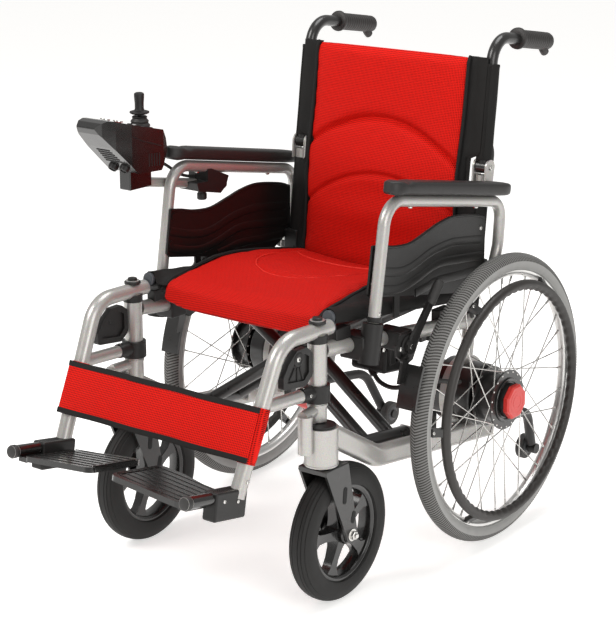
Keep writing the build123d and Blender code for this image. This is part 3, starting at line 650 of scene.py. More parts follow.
def hanger(side):
    k = SIDES[side]
    body = f"{side}_hanger_arm"
    dress(f"{side}_hanger", SILVER, 1.0)
    top = [(0, 15.2), (4.2, 15.2), (5.6, 13.6), (5.8, 9), (10.2, 8.6), (11, 7)]
    make(f"{side}_hanger_cap", *turned(post(k, 519.8), post(k, 530), top, 32), BLACK_PLASTIC, body)
    a, b = at(k * 215, -427.4, 506), at(k * 215, -424.2, 506)
    make(f"{side}_hanger_plug", *turned(a, b, [(0, 14.2), (2.2, 14.2), (3.6, 12.6)], 36), END_CAP, body)
    collar = ring_band(post(k, 379.4), post(k, 410.6), 22.6, 5.4)
    lug = turned(at(k * 214, -478, 398), at(k * 213.4, -506, 399.5), [(0, 14.2), (26, 13.4), (28, 12.4)], 32)
    make(f"{side}_hanger_collar", *joined([collar, lug]), BLACK_PLASTIC, body)
    spots = [(at(k * 225.2, -492, 399), (k, 0, 0), 3.8, 2.6),
             (at(k * (206 + 13.2), -656, 289), (k, 0, 0), 3.6, 2.2),
             (at(k * 214, -500, 411.4), (0, 0, 1), 3.2, 2)]
    bolts(f"{side}_hanger_bolts", spots, body)
    foot = FOOT_FRAME[side]
    sole = [foot @ Vector((x, y, -0.0385))
            for x, y in ((-0.0145, -0.0125), (0.0145, -0.0125), (0.0145, 0.0685), (-0.0145, 0.0685))]
    block = slab(sole, foot.to_3x3() @ Vector((0, 0, 0.0505)))
    make(f"{side}_foot_block", *block, BLACK_PLASTIC, body, bevel=4)
    y0, y1 = foot @ Vector((0, -0.0655, 0)), foot @ Vector((0, -0.0790, 0))
    knob = turned(y0, y1, [(0, 9), (1.5, 11.4), (4, 12), (10.5, 12), (13, 10.4), (14, 7)], 36)
    make(f"{side}_foot_knob", *knob, RUBBER, body)
    spots = [(foot @ Vector((k * 0.0145, y, z)), foot.to_3x3() @ Vector((k, 0, 0)), 3.4, 2.2)
             for y, z in ((0.008, -0.004), (0.044, -0.008))]
    bolts(f"{side}_foot_bolts", spots, body)


def footplate(side):
    k = SIDES[side]
    body = f"{side}_footrest"
    dress(f"{side}_footplate", BLACK_GLOSS, 1.5)
    foot = FOOT_FRAME[side]
    tip = Matrix.Rotation(math.radians(5 * k), 4, "Y")
    place = foot @ tip
    ribs = []
    for n in range(7):
        y = -0.052 + 0.0173 * n
        ribs.append([place @ Vector((k * x, y + dy, -0.0062))
                     for x, dy in ((-0.168, -0.0014), (-0.030, -0.0014), (-0.030, 0.0014), (-0.168, 0.0014))])
    up = place.to_3x3() @ Vector((0, 0, 0.0012))
    make(f"{side}_footplate_ribs", *joined([slab(r, up) for r in ribs]), BLACK_GLOSS, body, bevel=0.4)
    edge = []
    for x in (-0.176, -0.171):
        edge.append([place @ Vector((k * (x + dx), y, -0.0062))
                     for dx, y in ((0, -0.05), (0.0025, -0.05), (0.0025, 0.05), (0, 0.05))])
    make(f"{side}_footplate_edge", *joined([slab(r, up * 1.6) for r in edge]), BLACK_GLOSS, body, bevel=0.4)


def release(side):
    k = SIDES[side]
    body = f"{side}_release"
    dress(f"{side}_hanger_release", BLACK_PLASTIC, 1.6)
    dish = [(0, 12.8), (1.6, 12.8), (2.4, 11.6), (2.4, 8.6), (1.6, 8)]
    shapes = [turned(at(k * 219.6, -519, 470), at(k * 220, -519, 470), dish, 40)]
    for y0, z0, y1, z1 in ((-526, 456, -540, 437), (-519, 455, -519, 432), (-512, 456, -504, 432)):
        a, b = at(k * 217.4, y0, z0), at(k * 217.4, y1, z1)
        shapes.append(rod(a, b, 2.2, 12))
    make(f"{side}_release_disc", *joined(shapes), BLACK_PLASTIC, body)
    bolts(f"{side}_release_bolt", [(at(k * 218, -519, 470), (k, 0, 0), 5.4, 4.4)], body)


FOOT_FRAME = {
    side: Matrix.Translation(at(k * 200, -718, 276)) @ Matrix.Rotation(math.radians(-10), 4, "X")
    for side, k in SIDES.items()}
for side in SIDES:
    frame_side(side)
    lock(side)
    hanger(side)
    footplate(side)
    release(side)
for node in ("brace_from_left", "brace_from_right"):
    dress(node, BLACK_PAINT, 0.8)
dress("battery_box", BLACK_PLASTIC, 2.0)


# ---------------------------------------------------------------- armrests
def armrest(side):
    k = SIDES[side]
    body = f"{side}_armrest"
    dress(f"{side}_armrest_frame", SILVER, 0.6)
    dress(f"{side}_side_panel", PANEL, 1.4)
    x_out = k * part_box(f"{side}_side_panel")[1 if k > 0 else 0].x * 1000 * k - k * 0.8
    ridges = [
        [(-334, 592), (-287, 578), (-242, 570), (-204, 573), (-146, 587), (-87, 591), (-52, 588), (20, 578)],
        [(-336, 560), (-286, 545), (-241, 539), (-192, 546), (-126, 560), (-51, 554), (22, 546)],
        [(-196, 520), (-160, 524), (-125, 528), (-49, 523), (10, 521)]]
    shapes = []
    for line in ridges:
        for x in (x_out, x_out - k * 4):
            shapes.append(pipe([at(x, y, z) for y, z in line], 8.5, 16, 6, flat=0.16, up=(1, 0, 0)))
    rim = [(-328, 631), (-298, 626), (-262, 618), (-215, 615), (-165, 625), (-120, 635), (-70, 638), (0, 627),
           (33, 616)]
    shapes.append(pipe([at(x_out - k * 2, y, z) for y, z in rim], 3.2, 10, 6))
    make(f"{side}_panel_ridges", *joined(shapes), PANEL, body)
    spots = [(at(x_out, y, z), (k, 0, 0), 4.2, 2.2) for y, z in ((-331, 566), (-321, 619), (18, 600))]
    bolts(f"{side}_panel_rivets", spots, body)
    under = [(at(k * ARM_X, y, 704 - (y + 260) * 0.18 - 10.8), (0, 0, -1), 4.4, 3.2) for y in (-235, -20)]
    bolts(f"{side}_pad_screws", under, body)
    cuff = ring_band(at(k * ARM_X, -341, 500.4), at(k * ARM_X, -339.5, 509.6), 12.6, 1.5)
    make(f"{side}_post_cuff", *cuff, BLACK_PLASTIC, body)
    bolts(f"{side}_post_rivet", [(at(k * 259.6, -339.5, 516), (k, 0, 0), 3.4, 1.6)], body)

    tilt = math.radians(10.2)
    middle = at(k * 255, -117, 702.9)
    place = Matrix.Translation(middle) @ Matrix.Rotation(-tilt, 4, "X")
    verts, stations, around = [], 46, 28
    for i in range(stations):
        t = -1 + 2 * i / (stations - 1)
        y = 0.198 * t
        end = (1 - abs(t) ** 14) ** 0.5 if abs(t) < 1 else 0.0
        end = max(end, 0.30 if abs(t) == 1 else 0.0)
        nose = 1.0 + (0.05 if t < -0.86 else 0)
        half = 0.0215 * end * nose
        dip = 0.0035 * math.exp(-((t + 0.80) / 0.05) ** 2)
        for j in range(around):
            a = 2 * math.pi * j / around
            c, s = math.cos(a), math.sin(a)
            px = half * math.copysign(abs(c) ** 0.45, c)
            pz = 0.0122 * math.copysign(abs(s) ** 0.55, s) * (0.55 + 0.45 * end)
            crown = 0.0010 * (1 - (px / 0.0215) ** 2)
            if s > 0:
                pz += crown - dip
            elif t < -0.84:
                pz -= 0.003 * (1 - ((t + 0.93) / 0.09) ** 2 if abs(t + 0.93) < 0.09 else 0)
            verts.append(place @ Vector((px, y, pz)))
    faces = quads(stations, around) + caps(stations, around)
    pad = make(f"{side}_pad", verts, faces, PAD, body, [f"{side}_armrest_pad"], 50)


for side in SIDES:
    armrest(side)


# ---------------------------------------------------------------- push handles
def push_handle(side):
    k = SIDES[side]
    body = f"{side}_back"
    dress(f"{side}_push_handle", BLACK_PAINT, 0.5)
    a, b = at(k * 213.2, 172, 938.7), at(k * 212, 281.5, 921.5)
    length = (b - a).length * 1000
    profile = [(-6, 12.0), (-6, 18.4), (-4.5, 20.6), (-1, 21.0), (2.5, 19.8), (5, 17.2)]
    d = 9
    while d < length - 16:
        profile += [(d, 16.6), (d + 1.6, 17.3), (d + 3.4, 17.3), (d + 5, 16.6)]
        d += 7.4
    profile += [(length + d, r) for d, r in ((-14, 16.8), (-5, 17.2), (-1.5, 16.2), (1.4, 12), (1.8, 5))]
    shapes = [turned(a, b, profile, 44)]
    along = (b - a).normalized()
    down = (Vector((0, 0, -1)) - along * Vector((0, 0, -1)).dot(along)).normalized()
    hook = [b - along * back + down * drop
            for back, drop in ((0.020, 0.008), (0.011, 0.017), (0.004, 0.0215))]
    shapes.append(pipe(hook, 8.2, 20, 8))
    make(f"{side}_grip", *joined(shapes), GRIP, body, smooth=45)

    a, b = cane(k * CANE_X, 722), cane(k * (CANE_X - 1.4), 901)
    length = (b - a).length * 1000
    sleeve = [(0, 12.6), (0.4, 15.4), (2, 15.8), (7, 15.4), (length * 0.35, 15.2), (length * 0.62, 15.7),
              (length - 8, 15.3), (length - 2, 15.8), (length, 15.0), (length, 11.6)]
    make(f"{side}_upper_sleeve", *turned(a, b, sleeve, 40), NYLON, body)
    seam = [cane(k * (CANE_X - 1.4 * t), 724 + 175 * t) + Vector((k * 0.006, -0.0146, 0))
            for t in np.linspace(0, 1, 12)]
    make(f"{side}_sleeve_seam", *pipe(seam, 1.0, 8, 0), NYLON, body)
    lever = [at(k * CANE_X, y, z) for y, z in ((71, 752), (80, 744), (84, 728), (80, 706), (76, 694))]
    make(f"{side}_fold_release", *pipe(lever, 5.6, 14, 8, flat=0.8, up=(1, 0, 0)), BLACK_PLASTIC, body)


for side in SIDES:
    push_handle(side)


# ---------------------------------------------------------------- upholstery
def grid_pad(name, us, vs, top, bottom, mat):
    """Closed pad between two surfaces given as functions of (u, v), each returning a point."""
    nu, nv = len(us), len(vs)
    verts = [top(u, v) for v in vs for u in us] + [bottom(u, v) for v in vs for u in us]
    faces = []
    for j in range(nv - 1):
        for i in range(nu - 1):
            a = j * nu + i
            faces.append((a, a + 1, a + nu + 1, a + nu))
            b = a + nu * nv
            faces.append((b + nu, b + nu + 1, b + 1, b))
    edge = list(range(nu)) + [j * nu + nu - 1 for j in range(1, nv)]
    edge += [(nv - 1) * nu + i for i in range(nu - 2, -1, -1)] + [j * nu for j in range(nv - 2, 0, -1)]
    for a, b in zip(edge, edge[1:] + edge[:1]):
        faces.append((a, b, b + nu * nv, a + nu * nv))
    return make(name, verts, faces, mat, None, smooth=50)


def apply_modifiers(obj):
    """Bakes the object's modifiers into its mesh."""
    graph = bpy.context.evaluated_depsgraph_get()
    baked = bpy.data.meshes.new_from_object(obj.evaluated_get(graph))
    obj.modifiers.clear()
    obj.data = baked


def inflate(obj, cap, pressure=4.0, voxel=0.005):
    """Lets a pad swell as cloth under a little pressure, no point moving further than cap metres."""
    remesh = obj.modifiers.new("remesh", "REMESH")
    remesh.mode = "VOXEL"
    remesh.voxel_size = voxel
    bpy.context.view_layer.update()
    apply_modifiers(obj)
    before = np.array([v.co for v in obj.data.vertices])
    cloth = obj.modifiers.new("cloth", "CLOTH")
    cloth.settings.quality = 6
    cloth.settings.use_pressure = True
    cloth.settings.uniform_pressure_force = pressure
    cloth.settings.effector_weights.gravity = 0
    cloth.settings.tension_stiffness = 20
    cloth.settings.compression_stiffness = 20
    cloth.settings.bending_stiffness = 1.0
    for f in range(1, 21):
        bpy.context.scene.frame_set(f)
    apply_modifiers(obj)
    bpy.context.scene.frame_set(1)
    after = np.array([v.co for v in obj.data.vertices])
    move = after - before
    far = np.linalg.norm(move, axis=1, keepdims=True)
    after = before + move * np.minimum(1, cap / np.maximum(far, 1e-9))
    obj.data.vertices.foreach_set("co", after.astype(np.float32).ravel())
    smooth = obj.modifiers.new("relax", "SMOOTH")
    smooth.iterations = 4
    smooth.factor = 0.5
    subdivide = obj.modifiers.new("finer", "SUBSURF")
    subdivide.levels = subdivide.render_levels = 1
    bpy.context.view_layer.update()
    apply_modifiers(obj)
    obj.data.shade_smooth()


def to_lean(points):
    """Row-frame points (n, 3) in metres to (x, v, w) in the leaning frame, in millimetres."""
    p = np.asarray(points) * 1000
    y, z = p[:, 1] - AXLE_Y + 250, p[:, 2] - 245
    c, s = math.cos(PITCH), math.sin(PITCH)
    return np.stack([p[:, 0], y * c - z * s, y * s + z * c], 1)


def sew(obj, groove):
    """Presses sewn channels into a pad; groove(x, v, w) is how far points move along v and w, in mm."""
    co = np.array([v.co for v in obj.data.vertices])
    x, v, w = to_lean(co).T
    dv, dw = groove(x, v, w)
    c, s = math.cos(PITCH), math.sin(PITCH)
    co[:, 1] += (dv * c + dw * s) / 1000
    co[:, 2] += (dw * c - dv * s) / 1000
    obj.data.vertices.foreach_set("co", co.astype(np.float32).ravel())


SEAT_TUBE = 210
SEAT_EDGE = ([-197, -170, -130, -90, -54, 0, 64, 140, 220], [246, 258, 269, 280, 289, 294, 294, 290, 284])
PAD_HALF = 181.0


def seat_top(x, v):
    side = abs(x) / PAD_HALF
    edge = np.interp(v, *SEAT_EDGE)
    sag = (4 + 14 * (v + 197) / 417) * (1 - side ** 2)
    roll = 6 * max(0, (-180 - v) / 17) ** 2
    return edge - sag + 4 * (1 - side ** 4) - roll


def seat_bottom(x, v):
    side = abs(x) / PAD_HALF
    front = ease(np.array((-150 - v) / 40.0)).item()
    shallow = 243 + 12 * side ** 2 + 8 * ease(np.array((v + 60) / 120)).item()
    deep = 205 + 12 * side ** 6
    return shallow * (1 - front) + deep * front


def seat_pad():
    us = np.linspace(-1, 1, 49)
    vs = np.linspace(-1, 1, 57)

    def spread(u, v):
        x = PAD_HALF * u * 0.985
        depth = 11.5 + 208.5 * v
        bow = -7 * (1 - u * u) * max(0, -v) ** 3
        return x, depth + bow

    def top(u, v):
        x, d = spread(u, v)
        return lean(x, d, seat_top(x, max(d, -197)))

    def bottom(u, v):
        x, d = spread(u, v)
        return lean(x, d, min(seat_bottom(x, d), seat_top(x, max(d, -197)) - 7))
    pad = grid_pad("seat_pad", us, vs, top, bottom, SEAT_MESH)
    inflate(pad, cap=0.005)

    def groove(x, v, w):
        on_top = ease((w - 262) / 8)
        u_line = np.interp(np.abs(x), [0, 40, 80, 112, 132], [-78, -72, -48, 0, 90])
        near = np.exp(-((v - u_line) / 4.5) ** 2) * np.where(np.abs(x) < 134, 1.0, 0.0)
        side_line = np.interp(v, [-60, 0, 90, 220], [70, 112, 132, 146])
        side_near = np.exp(-((np.abs(x) - side_line) / 4.5) ** 2) * ease((v + 40) / 40)
        dip = -4.0 * np.maximum(near * ease((60 - v) / 60), side_near) * on_top
        return np.zeros_like(x), dip
    sew(pad, groove)
    pad.data.shade_smooth()
    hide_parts("seat_upholstery")
    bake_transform(pad)
    tree = BVHTree.FromPolygons([v.co for v in pad.data.vertices], [p.vertices for p in pad.data.polygons])
    down = (lean(0, 0, 0) - lean(0, 0, 1)).normalized()
    half = [(0, -78), (40, -72), (80, -48), (112, 0), (128, 60), (134, 110), (142, 160), (146, 205)]
    rear = [(-140, 150), (-100, 118), (-50, 100), (0, 96), (50, 100), (100, 118), (140, 150)]
    seams = [[(-x, v) for x, v in reversed(half[1:])] + half, rear]
    threads = []
    for seam in seams:
        route = curve_points([(x, v, 0) for x, v in seam], 8)
        hits = [tree.ray_cast(lean(p.x, p.y, 330), down)[0] for p in route]
        threads.append(pipe([h - down * 0.0004 for h in hits if h], 1.3, 8, 0))
    thread = make("seat_seams", *joined(threads), SEAM_THREAD, None, smooth=80)
    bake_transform(thread)


def seat_border(k):
    """Black side of the seat: from the pad's edge down and round the seat tube."""
    vs = np.linspace(-199, 220, 60)
    verts = []
    for v in vs:
        edge = float(np.interp(v, *SEAT_EDGE))
        front = max(0, (-176 - v) / 23)
        inner = edge - 2 - 8 * front
        slope = inner * 0.62 + 268 * 0.38
        flap = 249 if v > -150 else 246
        outside = [(-35, inner + 1.5), (-26, inner + 0.5), (-17, slope), (-7, 269), (6, 266.8), (12.2, 260),
                   (13.6, 253), (11.5, 245), (4, 240.4), (-5, 240.6), (-19, 246), (-37, flap)]
        inside = [(-37, flap + 2), (-19, 248), (-4.5, 242.2), (3.4, 242), (10, 246), (12, 253), (10.8, 259.2),
                  (5.4, 265), (-7, 267), (-17, slope - 2), (-26, inner - 1.6), (-35, inner - 0.8)]
        ring = outside + inside
        rings = len(ring)
        wave = 0.5 * math.sin(v * 0.11)
        verts += [lean(k * (SEAT_TUBE + dx + wave * 0.3), v, w + (wave if w > 262 else 0)) for dx, w in ring]
    faces = quads(len(vs), rings) + caps(len(vs), rings)
    name = "left" if k > 0 else "right"
    body = "brace_b" if k > 0 else "brace_a"
    make(f"{name}_seat_border", verts, faces, NYLON, body, smooth=50)
    line = [lean(k * PAD_HALF, v, float(np.interp(v, *SEAT_EDGE)) - 1 - 8 * max(0, (-176 - v) / 23))
            for v in np.linspace(-198, 218, 30)]
    make(f"{name}_seat_piping", *pipe(line, 3.0, 10, 3), NYLON, body, smooth=80)
    a, b = lean(k * SEAT_TUBE, -199.5, 253.3), lean(k * SEAT_TUBE, -206, 253.3)
    cap = turned(a, b, [(0, 12.4), (4.6, 12.4), (6.2, 11.0), (6.4, 7), (6.0, 5)], 36)
    make(f"{name}_seat_tube_cap", *cap, END_CAP, body)


seat_pad()
for k in (1, -1):
    seat_border(k)


def upper_arc(x):
    return 566 - 0.0022 * (x + 8) ** 2


def lower_arc(x):
    return 456 - 0.0021 * (x - 10) ** 2


def back_front(x, w):
    """v of the back pad's front face."""
    side = np.abs(x) / 178
    crown = 7 * (1 - side ** 4)
    lumbar = 15 * np.exp(-((w - 470) / 75.0) ** 2) * (1 - 0.5 * side ** 2)
    hip = 9 * np.exp(-((w - 375) / 34.0) ** 2) * (1 - side ** 2)
    roll = 10 * np.maximum(0, (w - 688) / 20.0) ** 2
    return 226 - crown - lumbar - hip + roll


def back_pad(name, low, high, node, body):
    us, vs = np.linspace(-1, 1, 45), np.linspace(0, 1, 45)

    def spot(u, t):
        x = 182 * u * (1 - 0.01 * (1 - t))
        return x, low(x) + (high(x) - low(x)) * t

    def front(u, t):
        x, w = spot(u, t)
        ends = 3.0 * (abs(2 * t - 1) ** 10)
        return lean(x, float(back_front(x, w)) + ends, w)

    def rear(u, t):
        x, w = spot(u, t)
        return lean(x, 240 - 3.0 * (abs(2 * t - 1) ** 10), w)
    pad = grid_pad(name, us, vs, front, rear, BACK_MESH)
    inflate(pad, cap=0.004)

    def groove(x, v, w):
        facing = ease((236 - v) / 8)
        seams = 6.5 * np.exp(-((w - lower_arc(x)) / 6.0) ** 2)
        seams += 6.0 * np.exp(-((w - upper_arc(x)) / 7.0) ** 2)
        return seams * facing, np.zeros_like(x)
    sew(pad, groove)
    pad.data.shade_smooth()
    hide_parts(node)
    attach(pad, body)
    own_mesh(pad)


LEFT_ANCHOR = lean(204, 240, 500)
back_pad("back_pad_lower", lambda x: 262, lambda x: upper_arc(x) + 7, "back_upholstery_lower", "left_frame")
back_pad("back_pad_upper", lambda x: upper_arc(x) - 6, lambda x: 706, "back_upholstery_upper", "left_back")


def back_wing(name, k, w0, w1, body):
    """Black cloth between the pad's edge and the sleeve round the cane."""
    ws = np.linspace(w0, w1, 30)
    verts, n = [], 12
    for w in ws:
        near = float(back_front(170.0, w)) + 3
        ripple = 0.7 * math.sin(w * 0.07)
        bare = ease(np.array((w - 452) / 12.0)).item() * ease(np.array((522 - w) / 12.0)).item()
        reach, middle, inner = 216 - 20 * bare, 206 - 14 * bare, 197 - 9 * bare
        outline = [(174, near), (180, near + 0.5), (188 - 3 * bare, near + 4 + ripple), (inner, 231 + ripple),
                   (middle, 229.5), (reach, 231.6), (reach, 234), (middle, 232), (inner, 234 + ripple),
                   (188 - 3 * bare, near + 9), (180, near + 6), (174, near + 6)]
        verts += [lean(k * x, v, w) for x, v in outline]
    faces = quads(len(ws), n) + caps(len(ws), n)
    make(name, verts, faces, NYLON, body, smooth=50)
    line = [lean(k * 178, float(back_front(174.0, w)) - 0.5, w) for w in ws]
    make(name + "_piping", *pipe(line, 3.4, 10, 3), NYLON, body, smooth=80)


for side, k in SIDES.items():
    for part, w0, w1, suffix in (("lower", 264, 498.5, "_frame"), ("upper", 497, 702, "_back")):
        back_wing(f"{side}_back_wing_{part}", k, w0, w1, side + suffix)


def calf_strap():
    tube_top, tube_low = Vector(at(213, -560, 508)), Vector(at(204, -668, 262))
    along = (tube_top - tube_low).normalized()
    ahead = Vector((0, -along.z, along.y)).normalized()
    if ahead.y > 0:
        ahead = -ahead
    middle = tube_low + along * ((360 / 1000 - tube_low.z) / along.z)

    def centre_line(x, h):
        """Point of the strap at x and height h along the tubes, in millimetres."""
        base = middle + along * h / 1000
        tube_x = base.x * 1000
        s = abs(x) / tube_x
        gap = 17.2 if s >= 1 else 16.4 + 0.8 * s ** 8
        sag = 5.0 * (1 - s ** 2) if s < 1 else 0
        return Vector((x / 1000, base.y, base.z)) + ahead * (gap + sag * 0.8) / 1000
    us = np.linspace(-1, 1, 90)
    wrap = []
    for h0, h1, thick, name, mat, span in (
            (-39, 39, 3.4, "calf_strap_mesh", STRAP_MESH, 219),
            (38, 48, 4.4, "calf_strap_top_binding", NYLON, 220),
            (-48, -38, 4.4, "calf_strap_low_binding", NYLON, 220)):
        rows = 7 if h1 > 30 and h0 < -30 else 5

        def face(u, t, off):
            x = span * u
            h = h0 + (h1 - h0) * t + 1.2 * math.sin(u * 9.0) * 0.4
            return centre_line(x, h) + ahead * off / 1000
        pad = grid_pad(name, us, np.linspace(0, 1, rows), lambda u, t: face(u, t, thick * 0.75),
                       lambda u, t: face(u, t, -thick * 0.25), mat)
        edge = pad.modifiers.new("edge", "BEVEL")
        edge.width = 0.0012
        edge.segments = 2
        edge.limit_method = "ANGLE"
        bpy.context.view_layer.update()
        apply_modifiers(pad)
        wrap.append(pad)
    for side_name, k in SIDES.items():
        verts, rows, n = [], 9, 24
        for j in range(rows):
            h = -48.5 + 97 * j / (rows - 1)
            axis = middle + along * h / 1000
            cx = axis.x * k
            for i in range(n):
                a = 2 * math.pi * i / n
                r = 16.6 if abs(h) < 46 else 15.6
                out = Vector((1, 0, 0)) * math.cos(a) + ahead * math.sin(a)
                verts.append(Vector((cx, axis.y, axis.z)) + out * (r + 0.4 * math.sin(3 * a)) / 1000)
        sleeve = make(f"{side_name}_strap_wrap", verts, quads(rows, n), STRAP_MESH, f"{side_name}_hanger_arm",
                      smooth=60)
        thickness = sleeve.modifiers.new("cloth", "SOLIDIFY")
        thickness.thickness = 0.0014
    for obj in wrap:
        if obj.name == "calf_strap_mesh":
            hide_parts("calf_strap")
        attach(obj, "left_hanger_arm")
        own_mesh(obj)


calf_strap()


# ---------------------------------------------------------------- controller
def joystick(px, body):
    py, pz = centre("joystick_boot").y * 1000 - AXLE_Y, 786.0
    profile = [(26.5, 5), (27, 13), (25.5, 14.6), (23, 13.4), (21, 14.4), (19, 16.6), (17, 17.2), (15, 15.9),
               (13, 17), (11, 19), (9, 19.6), (6, 18.2), (2, 18), (-4, 17.8)]
    base = at(px, py, pz)
    verts, faces = turned(base, base + Vector((0, 0, 1)), [(h, r) for h, r in profile], 48)
    make("joystick_bellows", verts, faces, RUBBER, "joystick_gimbal", ["joystick_boot"], 50)
    stick = [(0, 4), (30, 4.2), (31, 15), (32.5, 18), (34, 18.6), (35.5, 18), (37, 13), (38, 9.6), (41, 8.4),
             (52, 8.6), (62, 9.4), (67, 9.6), (69.5, 8.8), (71, 6)]
    verts, faces = turned(base, base + Vector((0, 0, 1)), stick, 44)
    make("joystick_stick", verts, faces, BLACK_PLASTIC, "joystick_stick", ["joystick"], 40)
    collar = [(5.4, 20.6), (7.6, 20.8), (8.4, 22.0), (8.0, 24.4), (6.0, 25.2), (4.0, 25.0)]
    ring_base = at(px, py, pz + 4.0)
    n, segments = len(collar), 56
    verts = []
    tilt = Matrix.Rotation(math.radians(-16), 4, "X")
    for s in range(segments):
        a = 2 * math.pi * s / segments
        for h, r in collar:
            verts.append(ring_base + tilt @ Vector((r * math.cos(a), r * math.sin(a), h - 3)) / 1000)
    make("joystick_collar", verts, quads(segments, n, ring=True), BLACK_GLOSS, body)


def panel_top(px, body):
    """Buttons with their rings, and the row of lights."""
    tilt15 = Matrix.Rotation(math.radians(-15), 4, "X")
    dress("power_button", RED_PLASTIC, 0.4)
    dress("horn_button", BRACKET, 0.4)
    panel = at(px, -452, 815.1)

    def on_panel(x, y, h=0.0):
        return panel + tilt15 @ Vector((x, y, h)) / 1000
    lights = []
    for n in range(5):
        a = on_panel(-12 + 6 * n, -17)
        lights.append(turned(a, a + tilt15 @ Vector((0, 0, 1)), [(-1, 1.7), (0.5, 1.7), (0.8, 1.1)], 14))
    make("panel_lights", *joined(lights), WHITE_MARK, body)
    for name, x, mat in (("power_ring", 16, STEEL), ("horn_ring", -16, STEEL)):
        mid = at(px + x, -444, 813.0) + tilt15 @ Vector((0, 0, 1.4)) / 1000
        up = tilt15 @ Vector((0, 0, 1))
        ring = [(0, 7.6), (2.2, 7.8), (2.2, 9.4), (0, 9.6)]
        verts, faces = turned(mid, mid + up, ring, 40)
        make(name, verts, faces[:-2], mat, body)


def pod_details(px, body):
    """Vents, painted as near-black sheets for the shade in their openings, and sockets of the slanted
    underside, side ribs, creases and the clamp's knob.
    """
    slant = (at(0, -475, 771) - at(0, -413, 715)).normalized()
    face_out = Vector((0, slant.z, -slant.y)).normalized()
    if face_out.z > 0:
        face_out = -face_out
    vents, plugs = [], []
    # Each vent is a thin near-black sheet: painted shade in the vent opening.
    for n in range(6):
        mid = at(px, -413, 715) + slant * (0.036 + 0.0075 * n)
        half = 20 - 0.8 * n
        corners = [mid + Vector((x / 1000, 0, 0)) + slant * u / 1000
                   for x, u in ((-half, -1.7), (half, -1.7), (half, 1.7), (-half, 1.7))]
        vents.append(slab(corners, face_out * 0.0007))
    make("pod_vents", *joined(vents), SLOT_SHADE, body)
    for x in (-15, 13):
        a = at(px + x, -413, 715) + slant * 0.016
        socket = [(-2, 9.6), (4, 9.6), (5.5, 8.4), (7.6, 8.2), (8, 6.4), (6, 6.0)]
        plugs.append(turned(a, a + face_out, socket, 28))
    make("pod_sockets", *joined(plugs), BLACK_PLASTIC, body)
    ribs = []
    for k in (1, -1):
        for n in range(5):
            x, y = px + k * 36.6, -356 - 7.0 * n
            ribs.append(brick((x - 0.9, x + 0.9), (y - 1.4, y + 1.4), (722 + 0.6 * n, 746 + 0.6 * n)))
    make("pod_ribs", *joined(ribs), BLACK_PLASTIC, body, bevel=0.4)
    crease = []
    for k in (1, -1):
        line = [(-426, 786), (-405, 776), (-380, 768), (-350, 758)]
        crease.append(pipe([at(px + k * 36.7, y, z) for y, z in line], 1.3, 8, 6))
    make("pod_crease", *joined(crease), BLACK_PLASTIC, body)
    knob = [(0, 8.8), (1.2, 9.6), (11, 9.8), (12.4, 8.6), (13, 5)]
    a = at(px, -195, 637)
    make("clamp_knob", *turned(a, at(px, -195, 620), knob, 12), RUBBER, body)
    spots = [(at(px - 15, y, z), (-1, 0, 0), 3.6, 2.4) for y, z in ((-226, 660), (-174, 656))]
    bolts("clamp_bolts", spots, body)


def controller():
    body = "right_armrest"
    dress("controller_housing", BLACK_GLOSS, 2.0)
    dress("controller_tube", SILVER, 0.4)
    dress("controller_clamp", BLACK_PLASTIC, 1.6)
    px = centre("joystick_boot").x * 1000
    joystick(px, body)
    panel_top(px, body)
    pod_details(px, body)


controller()


# ---------------------------------------------------------------- leads
def lead(name, points, dia, node, body):
    """Lead between two glands, a smooth spline through the route's points."""
    curve = bpy.data.curves.new(name, "CURVE")
    curve.dimensions = "3D"
    spline = curve.splines.new("NURBS")
    spline.points.add(len(points) - 1)
    for point, p in zip(spline.points, points):
        point.co = (*at(*p), 1)
    spline.order_u = 3
    spline.use_endpoint_u = True
    spline.resolution_u = 12
    obj = bpy.data.objects.new(name, curve)
    bpy.context.scene.collection.objects.link(obj)
    bpy.context.view_layer.update()
    line = [v.co.copy() for v in bpy.data.meshes.new_from_object(obj).vertices]
    length = sum((b - a).length for a, b in zip(line, line[1:]))
    curve.bevel_depth = dia / 2000
    curve.bevel_resolution = 5
    curve.use_fill_caps = True
    curve.materials.append(RUBBER)
    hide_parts(node)
    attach(obj, body)
    tuple(line[0])


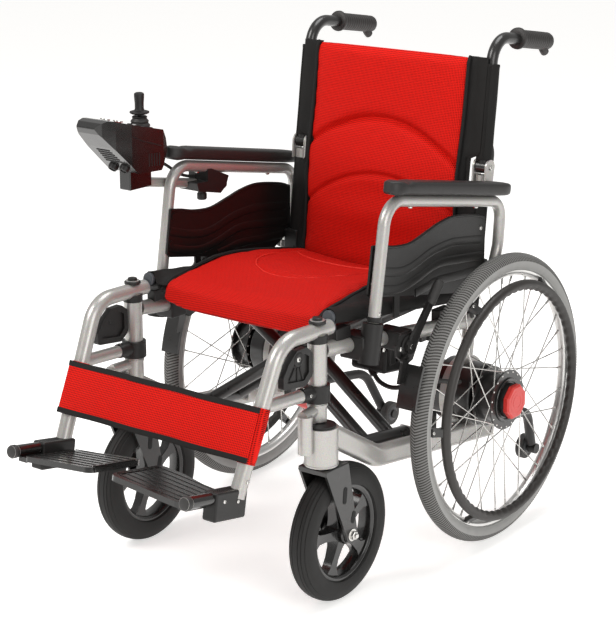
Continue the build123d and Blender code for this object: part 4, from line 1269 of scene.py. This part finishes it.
CONTROLLER_ROUTE = [
    (-266, -338.3, 729.4), (-266, -328, 723), (-266, -311, 714.5), (-267, -291, 703), (-269, -271, 690),
    (-271, -250, 681), (-272, -232, 676), (-272, -216.8, 674)]
MOTOR_ROUTE = [
    (112, -146, 327), (119, -147.5, 319), (133, -149, 313), (150, -150, 310), (167, -149, 312),
    (184, -144, 319), (201, -132, 325), (219, -114, 327), (236, -93, 325), (247, -75, 320), (251, -62, 318)]
lead("controller_lead", CONTROLLER_ROUTE, 6, "controller_cable", "right_armrest")
lead("motor_lead", MOTOR_ROUTE, 9, "motor_cable", "left_frame")


# ---------------------------------------------------------------- studio
def studio():
    scene = bpy.context.scene
    camera = bpy.data.objects.new("camera", bpy.data.cameras.new("camera"))
    scene.collection.objects.link(camera)
    camera.data.sensor_width = 36
    camera.data.lens = 110.1
    camera.data.shift_x = -0.0026
    camera.data.shift_y = 0.0101
    camera.data.clip_end = 50
    camera.location = at(2110.2, -2937.2, 1433.6)
    aim = at(0, -203, 435.45) - camera.location
    camera.rotation_euler = aim.to_track_quat("-Z", "Y").to_euler()
    scene.camera = camera

    floor = make("floor", [(-9, -9, 0), (9, -9, 0), (9, 9, 0), (-9, 9, 0)], [(0, 1, 2, 3)], FLOOR, None)
    world = bpy.data.worlds.new("studio")
    scene.world = world
    world.use_nodes = True
    sky = world.node_tree.nodes["Background"]
    sky.inputs["Color"].default_value = (1, 0.992, 0.98, 1)
    sky.inputs["Strength"].default_value = 0.48
    for name, place, size, power, tint in (
            ("key", (-1.2, -2.6, 3.2), 2.2, 85, (1, 0.985, 0.96)),
            ("fill", (3.2, -1.6, 1.8), 2.4, 45, (1, 0.99, 0.97)),
            ("top", (0.2, 0.6, 3.4), 2.0, 45, (1, 1, 1))):
        lamp = bpy.data.lights.new(name, "AREA")
        lamp.shape = "DISK"
        lamp.size = size
        lamp.energy = power
        lamp.color = tint
        obj = bpy.data.objects.new(name, lamp)
        scene.collection.objects.link(obj)
        obj.location = place
        obj.rotation_euler = (Vector((0, -0.1, 0.4)) - Vector(place)).to_track_quat("-Z", "Y").to_euler()
    scene.view_settings.view_transform = "Standard"


floor_shader = FLOOR.node_tree.nodes["Principled BSDF"]
floor_shader.inputs["Emission Color"].default_value = (1, 0.995, 0.985, 1)
floor_shader.inputs["Emission Strength"].default_value = 0.53
studio()
